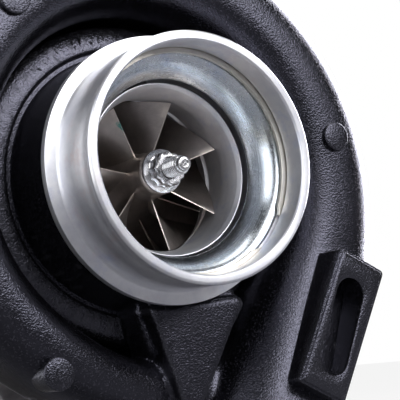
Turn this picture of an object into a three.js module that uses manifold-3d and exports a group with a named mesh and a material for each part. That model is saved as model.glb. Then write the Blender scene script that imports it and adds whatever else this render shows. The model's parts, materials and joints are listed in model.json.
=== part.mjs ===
// Exhaust-driven supercharger (turbocharger) with a ported compressor inlet and a divided turbine foot.
// Millimetres, +Z up. The origin is the centre of the turbine foot's face, on its divider web.
// Parts are drawn in a shaft frame: its Y axis is the shaft axis, Y = 0 is the compressor inlet's rim face,
// and Y grows towards the turbine. Every profile point is [radius, distance along the shaft].
import * as THREE from 'three';
import { mergeVertices } from 'three/addons/utils/BufferGeometryUtils.js';
import Module from 'manifold-3d';

const wasm = await Module();
wasm.setup();

// ---------- driving dimensions ----------
const CLEARANCE = 0.3;
const FOOT_DROP = 150;
const FOOT_X = -42;
const VOLUTE_Y = 184;

const INLET_BORE_R = 46.6;
const INLET_LIP_R = 50.8;
const INLET_FLANGE_R = 55.9;
const INLET_FLANGE_Y = 28;
const SNAP_GROOVE_R = 48;
const SNAP_GROOVE_FRONT = 11.2;
const SNAP_GROOVE_BACK = 14;
const SHROUD_BORE_R = 32.7;
const SHROUD_LIP_Y = 28.9;
const CHAMBER_R = 44;
const DIFFUSER_FRONT = 75;
const DIFFUSER_BACK = 80;
const EXDUCER_R = 48.95;
const INDUCER_Y = 39.8;
const BLADE_GAP = 0.45;

const SCROLL_INNER_R = 71;
const SCROLL_OUTER_MIN = 102.5;
const SCROLL_GROWTH = 16.8;
const SCROLL_Y = 58;
const SCROLL_HALF_DEPTH = 25;
const SCROLL_WALL = 4;
const SCROLL_START = -45;
const DISCHARGE_ANGLE = -26;
const DISCHARGE_LENGTH = 95;
const DISCHARGE_R = 35;

const COVER_FLANGE_R = 90;
const COVER_FLANGE_Y = 90;
const COVER_BACK = 92.7;
const BACKPLATE_BACK = 100;
const HOUSING_FRONT = BACKPLATE_BACK + CLEARANCE;
const HOUSING_NOSE = 168;
const REAR_FLANGE_R = 63;
const REAR_FLANGE_Y = 145;
const TURBINE_FRONT = 148.3;
const TURBINE_OUTLET = 252;
const TURBINE_WALL = 6;
const VOLUTE_INNER_R = 56;

const THREAD_R = 4;
const SHAFT_R = 4.9;
const JOURNAL_R = 8;
const SHAFT_END = 15.7;
const SHAFT_SHOULDER = 110.8;
const SHAFT_BACK = 160.2;

const BLADES = 7;
const BLADE_PHASE = 71.2;
const BLADE_WRAP = 62;
const BLADE_THICKNESS = 0.9;
const SPLITTER_START = 2;
const TURBINE_BLADES = 11;
const TURBINE_WRAP = 42;
const TURBINE_BLADE_THICKNESS = 1.5;

const LARGE_RING = 24;
const MEDIUM_RING = 16;
const SMALL_RING = 12;
const TAU = Math.PI * 2;

// ---------- finishes ----------
const FINISH = {
  cast_black: { color: 0x1b1b1f, roughness: 0.55, metalness: 0.2 },
  machined: { color: 0xd4d6da, roughness: 0.25, metalness: 1 },
  zinc: { color: 0xaab6c2, roughness: 0.15, metalness: 1 },
  spring_steel: { color: 0xa79f97, roughness: 0.35, metalness: 1 },
  wheel_alloy: { color: 0x8b8078, roughness: 0.35, metalness: 1 },
  steel: { color: 0xbdbdc0, roughness: 0.25, metalness: 1 },
  bronze: { color: 0xa9824a, roughness: 0.35, metalness: 1 },
  cast_iron: { color: 0x4d4a48, roughness: 0.7, metalness: 0.6 },
  turbine_alloy: { color: 0x6f6a66, roughness: 0.45, metalness: 1 },
  rubber: { color: 0x141414, roughness: 0.8, metalness: 0 },
};

// ---------- geometry helpers ----------
const radians = (degrees) => (degrees * Math.PI) / 180;
const mix = (a, b, t) => a + (b - a) * t;
const smooth = (t) => t * t * (3 - 2 * t);

// A closed three.js geometry as a solid, with its faces turned outward.
function solid(geometry) {
  const bare = new THREE.BufferGeometry();
  bare.setAttribute('position', geometry.getAttribute('position'));
  bare.setIndex(geometry.index);
  const merged = mergeVertices(bare, 1e-4);
  const vertices = Float32Array.from(merged.getAttribute('position').array);
  const corners = merged.index.array;
  const kept = [];
  let volume = 0;
  for (let i = 0; i < corners.length; i += 3) {
    const [a, b, c] = [corners[i], corners[i + 1], corners[i + 2]];
    if (a === b || b === c || c === a) continue;
    kept.push(a, b, c);
    const [p, q, r] = [a, b, c].map((k) => new THREE.Vector3().fromArray(vertices, 3 * k));
    volume += p.dot(q.cross(r));
  }
  if (volume < 0) {
    for (let i = 0; i < kept.length; i += 3) {
      [kept[i], kept[i + 1]] = [kept[i + 1], kept[i]];
    }
  }
  const triVerts = Uint32Array.from(kept);
  return new wasm.Manifold(new wasm.Mesh({ numProp: 3, vertProperties: vertices, triVerts }));
}

// A profile of [radius, along] points turned about the shaft axis.
function turned(profile, segments = LARGE_RING) {
  const points = profile.map(([r, y]) => new THREE.Vector2(r, y));
  const first = profile[0];
  const last = profile[profile.length - 1];
  if (first[0] > 0 || last[0] > 0) points.push(points[0].clone());
  return solid(new THREE.LatheGeometry(points, segments));
}

// A plain ring between two radii and two stations.
function ring(inner, outer, front, back, segments = MEDIUM_RING) {
  return turned([[inner, front], [outer, front], [outer, back], [inner, back]], segments);
}

// A skin over closed rings of points, capped flat at both ends. Each four-sided patch is split across its
// shorter diagonal, so that the two sides of a thin twisted blade stay parallel.
function lofted(rings) {
  const count = rings[0].length;
  const positions = rings.flat().flatMap((p) => p.toArray());
  const index = [];
  for (let i = 0; i < rings.length - 1; i += 1) {
    for (let k = 0; k < count; k += 1) {
      const next = (k + 1) % count;
      const a = i * count + k;
      const b = i * count + next;
      if (rings[i][next].distanceTo(rings[i + 1][k]) < rings[i][k].distanceTo(rings[i + 1][next])) {
        index.push(a, b, a + count, b, b + count, a + count);
      } else {
        index.push(a, b, b + count, a, b + count, a + count);
      }
    }
  }
  const end = (rings.length - 1) * count;
  for (let k = 1; k < count - 1; k += 1) {
    index.push(0, k + 1, k);
    index.push(end, end + k, end + k + 1);
  }
  const geometry = new THREE.BufferGeometry();
  geometry.setAttribute('position', new THREE.Float32BufferAttribute(positions, 3));
  geometry.setIndex(index);
  return solid(geometry);
}

// The same skin in two halves, for a spiral whose end laps over its own start.
function loftedSpiral(rings) {
  const middle = Math.floor(rings.length / 2);
  return lofted(rings.slice(0, middle + 1)).add(lofted(rings.slice(middle)));
}

// A rounded oval ring of points about a centre, in the plane of two unit vectors.
function oval(centre, across, along, halfWidth, halfDepth, power, count = 12) {
  const points = [];
  for (let k = 0; k < count; k += 1) {
    const angle = (TAU * k) / count;
    const c = Math.cos(angle);
    const s = Math.sin(angle);
    const u = Math.sign(c) * Math.abs(c) ** (2 / power) * halfWidth;
    const v = Math.sign(s) * Math.abs(s) ** (2 / power) * halfDepth;
    points.push(centre.clone().addScaledVector(across, u).addScaledVector(along, v));
  }
  return points;
}

// A flat outline in the X-Z plane, given depth along the shaft.
function slab(outline, front, back) {
  const shape = outline instanceof THREE.Shape ? outline : new THREE.Shape(outline);
  const depth = back - front;
  const geometry = new THREE.ExtrudeGeometry(shape, { depth, bevelEnabled: false, curveSegments: 6 });
  const toShaftFrame = new THREE.Matrix4().set(1, 0, 0, 0, 0, 0, 1, front, 0, 1, 0, 0, 0, 0, 0, 1);
  return solid(geometry.applyMatrix4(toShaftFrame));
}

function roundedRectangle(width, height, radius) {
  const shape = new THREE.Shape();
  const x = width / 2;
  const y = height / 2;
  const r = radius - 1e-3;
  shape.moveTo(-x + r, -y);
  shape.lineTo(x - r, -y);
  shape.absarc(x - r, -y + r, r, -Math.PI / 2, 0);
  shape.lineTo(x, y - r);
  shape.absarc(x - r, y - r, r, 0, Math.PI / 2);
  shape.lineTo(-x + r, y);
  shape.absarc(-x + r, y - r, r, Math.PI / 2, Math.PI);
  shape.lineTo(-x, -y + r);
  shape.absarc(-x + r, -y + r, r, Math.PI, 1.5 * Math.PI);
  return shape;
}

function box(low, high) {
  const size = high.map((value, i) => value - low[i]);
  const geometry = new THREE.BoxGeometry(...size);
  return solid(geometry.translate(...low.map((value, i) => value + size[i] / 2)));
}

// A round or six-sided bar from one point to another.
function bar(from, to, radius, sides = SMALL_RING) {
  const start = new THREE.Vector3(...from);
  const run = new THREE.Vector3(...to).sub(start);
  const geometry = new THREE.CylinderGeometry(radius, radius, run.length(), sides);
  const turn = new THREE.Quaternion().setFromUnitVectors(new THREE.Vector3(0, 1, 0), run.clone().normalize());
  geometry.applyQuaternion(turn);
  const middle = start.addScaledVector(run, 0.5);
  return solid(geometry.translate(middle.x, middle.y, middle.z));
}

const joined = (...solids) => solids.reduce((whole, piece) => whole.add(piece));
const cut = (whole, ...tools) => tools.reduce((rest, tool) => rest.subtract(tool), whole);
const radial = (degrees) => new THREE.Vector3(Math.cos(radians(degrees)), 0, Math.sin(radians(degrees)));
const alongShaft = new THREE.Vector3(0, 1, 0);

// ---------- the assembly ----------
const turbo = new THREE.Group();
turbo.name = 'turbocharger';
turbo.position.set(-FOOT_X, -VOLUTE_Y, FOOT_DROP);

function geometryOf(shape) {
  const mesh = shape.getMesh();
  const geometry = new THREE.BufferGeometry();
  geometry.setAttribute('position', new THREE.BufferAttribute(mesh.vertProperties, 3));
  geometry.setIndex(new THREE.BufferAttribute(mesh.triVerts, 1));
  return geometry;
}

function addPart(name, shape, finish) {
  const geometry = geometryOf(shape);
  geometry.computeVertexNormals();
  const part = new THREE.Mesh(geometry, new THREE.MeshStandardMaterial(FINISH[finish]));
  part.name = name;
  turbo.add(part);
}

// ---------- compressor flow path ----------
// A quarter ellipse from the axial inducer to the radial exducer; gap moves it off the shroud wall.
function shroudCurve(steps, gap) {
  const rise = EXDUCER_R + BLADE_GAP - SHROUD_BORE_R;
  const run = DIFFUSER_FRONT - INDUCER_Y;
  const points = [];
  for (let i = 0; i <= steps; i += 1) {
    const angle = ((Math.PI / 2) * i) / steps;
    const radius = EXDUCER_R + BLADE_GAP - gap - rise * Math.cos(angle);
    points.push([radius, INDUCER_Y + gap + run * Math.sin(angle)]);
  }
  return points;
}

function hubCurve(steps) {
  const points = [];
  for (let i = 0; i <= steps; i += 1) {
    const angle = ((Math.PI / 2) * i) / steps;
    points.push([49 - 39 * Math.cos(angle), 46.5 + 33.5 * Math.sin(angle)]);
  }
  return points;
}

// ---------- compressor cover ----------
// The scroll grows clockwise, seen from the inlet, and leaves at DISCHARGE_ANGLE.
const SCROLL_SWEEP = 360 + SCROLL_START - DISCHARGE_ANGLE;
const SCROLL_STEP = 22.5;
const GROWTH_POWER = 2.6;
const SECTION_POWER = 2.6;
const THROAT_SHARE = 0.62;
const THROAT_SWEEP = 90;

function scrollStation(turn, wall) {
  const fraction = turn / SCROLL_SWEEP;
  const throat = mix(THROAT_SHARE, 1, smooth(Math.min(1, turn / THROAT_SWEEP)));
  const outer = SCROLL_OUTER_MIN + SCROLL_GROWTH * fraction ** GROWTH_POWER;
  const halfWidth = ((outer - SCROLL_INNER_R) / 2) * throat;
  const direction = radial(SCROLL_START - turn);
  const centre = direction.clone().multiplyScalar(outer - halfWidth);
  const halfDepth = SCROLL_HALF_DEPTH * throat;
  centre.y = SCROLL_Y + SCROLL_HALF_DEPTH - halfDepth;
  return oval(centre, direction, alongShaft, halfWidth - wall, halfDepth - wall, SECTION_POWER);
}

const HOSE_BEAD = 1.5;
const dischargeRadial = radial(DISCHARGE_ANGLE);
const dischargeRun = radial(DISCHARGE_ANGLE - 90);

function dischargeStation(distance, radius, power) {
  const rootRadius = (SCROLL_INNER_R + SCROLL_OUTER_MIN + SCROLL_GROWTH) / 2;
  const centre = dischargeRadial.clone().multiplyScalar(rootRadius).addScaledVector(dischargeRun, distance);
  centre.y = SCROLL_Y;
  return oval(centre, dischargeRadial, alongShaft, radius, radius, power);
}

// Stations at whole steps, so that the widest and highest points of the scroll are among them.
function scrollRings(wall) {
  const rings = [];
  for (let turn = 0; turn < SCROLL_SWEEP; turn += SCROLL_STEP) {
    rings.push(scrollStation(turn, wall));
  }
  rings.push(scrollStation(SCROLL_SWEEP, wall));
  return rings;
}

function scrollBody() {
  const bead = DISCHARGE_R + HOSE_BEAD;
  const spans = [
    [25, 27.5, 2.4], [50, 31, 2.2], [78, DISCHARGE_R, 2], [85, DISCHARGE_R, 2], [87, bead, 2],
    [90, bead, 2], [91.5, DISCHARGE_R, 2], [DISCHARGE_LENGTH, DISCHARGE_R, 2],
  ];
  return loftedSpiral([...scrollRings(0), ...spans.map((span) => dischargeStation(...span))]);
}

function scrollPassage() {
  const bore = DISCHARGE_R - SCROLL_WALL;
  const spans = [[25, 23.5, 2.4], [50, 27, 2.2], [78, bore, 2], [DISCHARGE_LENGTH + 2, bore, 2]];
  return loftedSpiral([...scrollRings(SCROLL_WALL), ...spans.map((span) => dischargeStation(...span))]);
}

const PAD_R = 6.5;
const PAD_FRONT = 31;
const PAD_PLACES = [[10.4, 92], [132.3, 92], [-124.2, 96.3]];

function datumPad([degrees, distance]) {
  const at = radial(degrees).multiplyScalar(distance);
  return bar([at.x, PAD_FRONT, at.z], [at.x, PAD_FRONT + 12, at.z], PAD_R, 20);
}

const BLOCK = { x: 73.6, z: -68.5, width: 25, height: 62.5, lean: 27.5, front: 18, back: 50 };
const BLOCK_SLOT = { x: 73, z: -69, width: 14, length: 43, lean: 24 };

function slottedBlock() {
  const place = ({ x, z, lean }) => {
    const turn = new THREE.Matrix4().makeRotationY(radians(lean));
    return new THREE.Matrix4().makeTranslation(x, 0, z).multiply(turn).toArray();
  };
  const body = slab(roundedRectangle(BLOCK.width, BLOCK.height, 2), BLOCK.front, BLOCK.back);
  const round = roundedRectangle(BLOCK_SLOT.width, BLOCK_SLOT.length, BLOCK_SLOT.width / 2);
  const slot = slab(round, BLOCK.front - 1, BLOCK.back - 6);
  return cut(body.transform(place(BLOCK)), slot.transform(place(BLOCK_SLOT)));
}

// The gusset between the inlet neck and the tongue: a raised triangle, a web to the neck and a lower step.
function tongueGusset() {
  const face = [[-9.6, -56], [35.4, -53], [36, -57], [29.5, -66], [11.5, -98], [3.2, -97]];
  const web = [[-9.6, -58], [-7, -40], [30, -40], [35.4, -55]];
  const step = [[-11.7, -59.2], [-6.4, -73.4], [0.9, -81.3], [4.5, -93.8], [10, -93.8], [10, -50], [-9, -45]];
  const outline = (points) => points.map(([x, z]) => new THREE.Vector2(x, z));
  return joined(slab(outline(face), 36, 62), slab(outline(web), 38, 62), slab(outline(step), 45, 62));
}

function compressorCover() {
  const casting = turned([
    [0, 0], [50, 0], [INLET_LIP_R, 0.8], [INLET_LIP_R, 2.2], [48.8, 6], [50.2, 16],
    [50.3, INLET_FLANGE_Y], [INLET_FLANGE_R, INLET_FLANGE_Y], [INLET_FLANGE_R, 32.2], [52.6, 33.2],
    [55.6, 61.4], [58.9, 59.6], [66, 61.2], [70.2, 68], [74, 73], [88, 73], [88, 83], [84, 84],
    [84, COVER_FLANGE_Y], [COVER_FLANGE_R, COVER_FLANGE_Y], [COVER_FLANGE_R, COVER_BACK], [0, COVER_BACK],
  ]);
  const inletBore = turned([
    [0, -1], [INLET_BORE_R, -1], [INLET_BORE_R, SNAP_GROOVE_FRONT], [SNAP_GROOVE_R, SNAP_GROOVE_FRONT],
    [SNAP_GROOVE_R, SNAP_GROOVE_BACK], [INLET_BORE_R, SNAP_GROOVE_BACK], [INLET_BORE_R, 26],
    [CHAMBER_R, 26], [CHAMBER_R, SHROUD_LIP_Y], [0, SHROUD_LIP_Y],
  ]);
  const chamber = turned([
    [36.2, 28.4], [CHAMBER_R, 28.4], [CHAMBER_R, 54], [42, 58], [38.5, 58], [36.2, 54],
  ]);
  const flowPath = turned([
    [0, 28], [34.2, 28], [34.2, SHROUD_LIP_Y], [SHROUD_BORE_R, 30.4], ...shroudCurve(6, 0),
    [86, DIFFUSER_FRONT], [86, DIFFUSER_BACK], [82, DIFFUSER_BACK], [82, 94], [0, 94],
  ]);
  const bleedSlot = ring(32.5, 38, 52.5, 55.5, LARGE_RING);
  const cast = joined(casting, scrollBody(), slottedBlock(), tongueGusset(), ...PAD_PLACES.map(datumPad));
  const hollow = cut(cast, inletBore, chamber, flowPath, bleedSlot, scrollPassage());
  const webs = [];
  for (let k = 0; k < 5; k += 1) {
    webs.push(box([35.8, 33, -1.5], [44.6, 57.8, 1.5]).rotate([0, 72 * k + 20, 0]));
  }
  return joined(hollow, ...webs);
}
addPart('compressor_cover', compressorCover(), 'cast_black');

// ---------- inlet bell and snap ring ----------
function inletBell() {
  const front = [];
  for (let i = 0; i <= 4; i += 1) {
    const angle = ((Math.PI / 2) * i) / 4;
    front.push([46.2 - 9.2 * Math.sin(angle), 25.6 - 11.1 * Math.cos(angle)]);
  }
  return turned([...front, [38, 26.9], [41.5, 21.8], [43.6, 18.6], [44.6, 25.7], [46.2, 25.7]]);
}
addPart('inlet_bell', inletBell(), 'zinc');

function openRing(inner, outer, front, back, gapMiddle, gapWidth, segments) {
  const middle = radial(gapMiddle).multiplyScalar((inner + outer) / 2);
  const reach = outer - inner + 4;
  const gap = box([-reach, front - 1, -gapWidth / 2], [reach, back + 1, gapWidth / 2]);
  const placed = gap.rotate([0, -gapMiddle, 0]).translate([middle.x, 0, middle.z]);
  return cut(ring(inner, outer, front, back, segments), placed);
}
const snapRing = openRing(45.4, 47.6, 11.6, 13.6, -38.5, 17, LARGE_RING);
addPart('inlet_snap_ring', snapRing, 'spring_steel');

// ---------- compressor wheel ----------
// One blade: a thin skin from the hub curve to the tip curve, wrapped round the axis as it goes back.
function blade(hub, tip, wrap, phase, thickness, start = 0) {
  const rings = [];
  for (let i = start; i < hub.length; i += 1) {
    const t = i / (hub.length - 1);
    const corner = ([r, y], side, half) => {
      const angle = phase + wrap(t);
      const at = radial(angle).multiplyScalar(r).addScaledVector(radial(angle + 90), side * half);
      at.y = y;
      return at;
    };
    const root = [hub[i][0] - 0.8, hub[i][1] + 0.6];
    const half = thickness / 2;
    rings.push([corner(root, -1, half * 1.6), corner(root, 1, half * 1.6), corner(tip[i], 1, half),
      corner(tip[i], -1, half)]);
  }
  return lofted(rings);
}

function compressorWheel() {
  const steps = 5;
  const hub = hubCurve(steps);
  const tip = shroudCurve(steps, BLADE_GAP);
  const wrap = (t) => BLADE_WRAP * (0.75 * (1 - (1 - t) ** 2.2) + 0.25 * t);
  const body = turned([
    [SHAFT_R + 0.25, 35.4], [8.8, 35.4], [8.8, 40], [9.4, 44.5], ...hub, [49, 83.1], [12.5, 83.4],
    [SHAFT_R + 0.25, 83.4],
  ], MEDIUM_RING);
  const blades = [];
  for (let k = 0; k < BLADES; k += 1) {
    const phase = BLADE_PHASE + (360 / BLADES) * k;
    blades.push(blade(hub, tip, wrap, phase, BLADE_THICKNESS));
    blades.push(blade(hub, tip, wrap, phase + 180 / BLADES, BLADE_THICKNESS, SPLITTER_START));
  }
  return joined(body, ...blades);
}
addPart('compressor_wheel', compressorWheel(), 'wheel_alloy');

// Twelve-point nut on a round flange.
function shaftNut() {
  const hexagon = (turn) => new THREE.CylinderGeometry(7.4, 7.4, 6.1, 6).rotateY(radians(turn));
  const points = [0, 30].map((turn) => solid(hexagon(turn).translate(0, 30.1, 0)));
  const flange = turned([[0, 33], [7.4, 32.6], [9.3, 33.8], [9.3, 35.1], [0, 35.1]], SMALL_RING);
  return cut(joined(flange, ...points), bar([0, 20, 0], [0, 40, 0], THREAD_R + 0.25));
}
addPart('shaft_nut', shaftNut(), 'steel');

// ---------- rotor shaft ----------
function rotorShaft() {
  return turned([
    [0, 17.3], [1, SHAFT_END], [2.9, SHAFT_END], [2.9, 17.6], [THREAD_R, 19], [THREAD_R, 35.6],
    [SHAFT_R, 36], [SHAFT_R, SHAFT_SHOULDER], [JOURNAL_R, SHAFT_SHOULDER], [JOURNAL_R, 131], [7.2, 132],
    [7.2, 141], [JOURNAL_R, 142], [JOURNAL_R, SHAFT_BACK], [0, SHAFT_BACK],
  ], MEDIUM_RING);
}
addPart('rotor_shaft', rotorShaft(), 'steel');

function oilFlinger() {
  const inner = SHAFT_R + 0.25;
  return turned([
    [inner, 83.7], [9.9, 83.7], [9.9, 88], [8.3, 88], [8.3, 90], [9.9, 90], [9.9, 98.6], [13, 98.9],
    [13, 101.2], [inner, 101.2],
  ], MEDIUM_RING);
}
addPart('oil_flinger', oilFlinger(), 'steel');
addPart('compressor_seal_ring', ring(8.6, 10, 88.25, 89.75), 'steel');

function thrustCollar() {
  const inner = SHAFT_R + 0.25;
  return turned([
    [inner, 101.5], [15, 101.5], [15, 103.5], [9.2, 103.5], [9.2, 108.5], [15, 108.5], [15, 110.5],
    [inner, 110.5],
  ], MEDIUM_RING);
}
addPart('thrust_collar', thrustCollar(), 'steel');

function thrustBearing() {
  const mouth = box([-9.7, 103, -30], [9.7, 109, 0]);
  return cut(ring(9.7, 25.6, 103.8, 108.2), mouth);
}
addPart('thrust_bearing', thrustBearing(), 'bronze');

// ---------- floating journal bushes and their circlips ----------
const BUSH_STATIONS = { journal_bush_front: 116, journal_bush_rear: 143 };
const BUSH_LENGTH = 14;
for (const [name, front] of Object.entries(BUSH_STATIONS)) {
  addPart(name, ring(JOURNAL_R + 0.25, 12, front, front + BUSH_LENGTH), 'bronze');
}
const CIRCLIP_FRONTS = [114.3, 130.6, 141.2, 157.6];
CIRCLIP_FRONTS.forEach((front, k) => {
  const circlip = openRing(10.8, 13.2, front, front + 1.1, 90, 7, SMALL_RING);
  addPart(`bearing_circlip_${k + 1}`, circlip, 'spring_steel');
});

// ---------- backplate ----------
const BACKPLATE_BOLTS = 6;
const BACKPLATE_BOLT_R = 53;
const boltAngles = Array.from({ length: BACKPLATE_BOLTS }, (_, k) => 60 * k);

function axialBar(degrees, pitchRadius, front, back, radius, sides = 8) {
  const at = radial(degrees).multiplyScalar(pitchRadius);
  return bar([at.x, front, at.z], [at.x, back, at.z], radius, sides);
}

function backplate() {
  const disc = turned([
    [10.3, 83.9], [50, 83.9], [50.3, DIFFUSER_BACK], [81.7, DIFFUSER_BACK], [81.7, 84], [79.4, 84],
    [79.4, 86.6], [81.7, 86.6], [81.7, 93], [COVER_FLANGE_R, 93], [COVER_FLANGE_R, 95.7], [84, 96],
    [70, 97], [66, BACKPLATE_BACK], [15, BACKPLATE_BACK], [15, 98.2], [10.3, 98.2],
  ]);
  const holes = boltAngles.map((degrees) => axialBar(degrees, BACKPLATE_BOLT_R, 86, 101, 4.3));
  return cut(disc, ...holes);
}
addPart('backplate', backplate(), 'machined');

function oRing(radius, thickness, y) {
  const profile = [];
  for (let k = 0; k < 6; k += 1) {
    const angle = (TAU * k) / 6;
    profile.push([radius + (thickness / 2) * Math.cos(angle), y + (thickness / 2) * Math.sin(angle)]);
  }
  return turned(profile);
}
addPart('backplate_o_ring', oRing(80.6, 1.8, 85.3), 'rubber');

function flangeBolt(degrees) {
  const head = axialBar(degrees, BACKPLATE_BOLT_R, 110.6, 117.6, 7.2, 6);
  return joined(head, axialBar(degrees, BACKPLATE_BOLT_R, 87, 112, 4));
}
boltAngles.forEach((degrees, k) => addPart(`backplate_bolt_${k + 1}`, flangeBolt(degrees), 'steel'));

// ---------- clamp bands ----------
// A channel ring round two flanges, open at one place where a bolt draws its two lugs together.
const BAND_GAP = 8;
const LUG_THICKNESS = 7;

function clampBand(flangeR, front, back, degrees) {
  const lip = flangeR - 3.5;
  const floor = flangeR + 0.5;
  const band = turned([
    [lip, front - 3], [lip, front - 0.4], [floor, front - 0.4], [floor, back + 0.4], [lip, back + 0.4],
    [lip, back + 3], [flangeR + 1.5, back + 3], [flangeR + 3.5, back + 1], [flangeR + 3.5, front - 1],
    [flangeR + 1.5, front - 3],
  ]);
  const middle = (front + back) / 2;
  const reach = BAND_GAP / 2 + LUG_THICKNESS;
  const lugs = box([floor + 0.5, middle - 5, -reach], [flangeR + 17, middle + 5, reach]);
  const gap = box([0.8 * flangeR, front - 4, -BAND_GAP / 2], [flangeR + 20, back + 4, BAND_GAP / 2]);
  const boltHole = bar([flangeR + 11, middle, -30], [flangeR + 11, middle, 30], 3.4, 12);
  return cut(joined(band, lugs), gap, boltHole).rotate([0, -degrees, 0]);
}

function clampBolt(flangeR, front, back, degrees) {
  const middle = (front + back) / 2;
  const x = flangeR + 11;
  const face = BAND_GAP / 2 + LUG_THICKNESS + CLEARANCE;
  const head = bar([x, middle, -face - 4], [x, middle, -face], 5, 12);
  return joined(head, bar([x, middle, -face - 1], [x, middle, face + 12], 3, 12)).rotate([0, -degrees, 0]);
}

function clampNut(flangeR, front, back, degrees) {
  const middle = (front + back) / 2;
  const x = flangeR + 11;
  const face = BAND_GAP / 2 + LUG_THICKNESS + CLEARANCE;
  const hexagon = bar([x, middle, face], [x, middle, face + 6], 5.6, 6);
  const hole = bar([x, middle, 0], [x, middle, 40], 3.25, 12);
  return cut(hexagon, hole).rotate([0, -degrees, 0]);
}

const CLAMPS = {
  cover_clamp: [COVER_FLANGE_R, COVER_FLANGE_Y, 95.7, 135],
  turbine_clamp: [REAR_FLANGE_R, REAR_FLANGE_Y, 151.3, 60],
};
for (const [name, place] of Object.entries(CLAMPS)) {
  addPart(`${name}_band`, clampBand(...place), 'steel');
  addPart(`${name}_bolt`, clampBolt(...place), 'steel');
  addPart(`${name}_nut`, clampNut(...place), 'steel');
}

// ---------- bearing housing ----------
const OIL_Y = 129.7;
const PAD_HALF = 11.4;
const OIL_PAD_Z = 54;
const OIL_BOLT_X = 17;
const DRAIN_PAD_Z = -58;
const DRAIN_R = 9;

function bearingHousing() {
  const casting = turned([
    [0, HOUSING_FRONT], [62, HOUSING_FRONT], [62, 109], [60.5, 110.3], [45, 110.3], [41, 113], [38, 118],
    [38, 136], [43, 141], [50, 144.6], [REAR_FLANGE_R, REAR_FLANGE_Y], [REAR_FLANGE_R, 148], [54.2, 148],
    [54.2, 152.2], [50, 152.3], [30, 159.8], [24, HOUSING_NOSE], [0, HOUSING_NOSE],
  ]);
  const oilPad = box([-24, OIL_Y - PAD_HALF, 20], [24, OIL_Y + PAD_HALF, OIL_PAD_Z]);
  const drainPad = box([-30, OIL_Y - PAD_HALF, DRAIN_PAD_Z], [30, OIL_Y + PAD_HALF, -25]);
  const bore = turned([[0, 111], [12.3, 111], [12.3, 160], [11.6, 160], [11.6, 170], [0, 170]], MEDIUM_RING);
  const thrustRecess = ring(0, 26, HOUSING_FRONT - 1, 112, MEDIUM_RING);
  const grooves = CIRCLIP_FRONTS.map((front) => ring(9, 13.5, front - 0.25, front + 1.35, MEDIUM_RING));
  const oilFeed = bar([0, OIL_Y, 0], [0, OIL_Y, OIL_PAD_Z + 1], 3, 12);
  const drain = bar([0, OIL_Y, -6], [0, OIL_Y, DRAIN_PAD_Z - 1], DRAIN_R);
  const thrustDrain = box([-8, 104, -24], [8, OIL_Y, -16]);
  const boltHoles = boltAngles.map((degrees) => axialBar(degrees, BACKPLATE_BOLT_R, 99, 112, 4.3));
  const padHoles = [-1, 1].flatMap((side) => [
    bar([side * OIL_BOLT_X, OIL_Y, OIL_PAD_Z - 12], [side * OIL_BOLT_X, OIL_Y, OIL_PAD_Z + 1], 3.3, 12),
    bar([side * 22, OIL_Y, DRAIN_PAD_Z + 12], [side * 22, OIL_Y, DRAIN_PAD_Z - 1], 4.2, 12),
  ]);
  const body = joined(casting, oilPad, drainPad);
  return cut(body, bore, thrustRecess, ...grooves, oilFeed, drain, thrustDrain, ...boltHoles, ...padHoles);
}
addPart('bearing_housing', bearingHousing(), 'cast_iron');

// ---------- oil inlet fitting ----------
const FITTING_Z = OIL_PAD_Z + CLEARANCE;
const GASKET = 0.8;
const FLANGE_Z = FITTING_Z + GASKET + CLEARANCE;
const FITTING_TOP = 84;

function diamondFlange(low, high, hole) {
  const plate = joined(
    box([-OIL_BOLT_X, OIL_Y - 8, low], [OIL_BOLT_X, OIL_Y + 8, high]),
    bar([0, OIL_Y, low], [0, OIL_Y, high], 11.5),
    ...[-1, 1].map((side) => bar([side * OIL_BOLT_X, OIL_Y, low], [side * OIL_BOLT_X, OIL_Y, high], 7.5)),
  );
  const holes = [-1, 1].map((side) => {
    const x = side * OIL_BOLT_X;
    return bar([x, OIL_Y, low - 1], [x, OIL_Y, high + 1], 3.6, 12);
  });
  return cut(plate, ...holes, bar([0, OIL_Y, low - 1], [0, OIL_Y, high + 1], hole, 12));
}
addPart('oil_inlet_gasket', diamondFlange(FITTING_Z, FITTING_Z + GASKET, 5), 'rubber');

function oilFitting() {
  const plate = diamondFlange(FLANGE_Z, FLANGE_Z + 8, 4.5);
  const stub = joined(
    bar([0, OIL_Y, FLANGE_Z + 7], [0, OIL_Y, 72], 9.6, 6),
    bar([0, OIL_Y, 71], [0, OIL_Y, FITTING_TOP], 7.5),
  );
  return cut(joined(plate, stub), bar([0, OIL_Y, FLANGE_Z - 1], [0, OIL_Y, FITTING_TOP + 1], 4.5, 12));
}
addPart('oil_inlet_fitting', oilFitting(), 'steel');

[-1, 1].forEach((side, k) => {
  const x = side * OIL_BOLT_X;
  const seat = FLANGE_Z + 8 + CLEARANCE;
  const head = bar([x, OIL_Y, seat], [x, OIL_Y, seat + 5], 5.4, 6);
  const shank = bar([x, OIL_Y, OIL_PAD_Z - 10], [x, OIL_Y, seat + 1], 3, 12);
  addPart(`oil_inlet_bolt_${k + 1}`, joined(head, shank), 'steel');
});

// ---------- turbine side ----------
addPart('heat_shield', turned([
  [53.8, 152.8], [50.2, 152.9], [30.4, 160.2], [24.6, 168.4], [13.5, 168.4], [13.5, 169.6],
  [25.4, 169.6], [31.3, 161.2], [50.5, 154.1], [53.8, 154],
]), 'steel');
addPart('turbine_seal_ring', ring(9.9, 11.35, 163.25, 164.75), 'steel');

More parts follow.
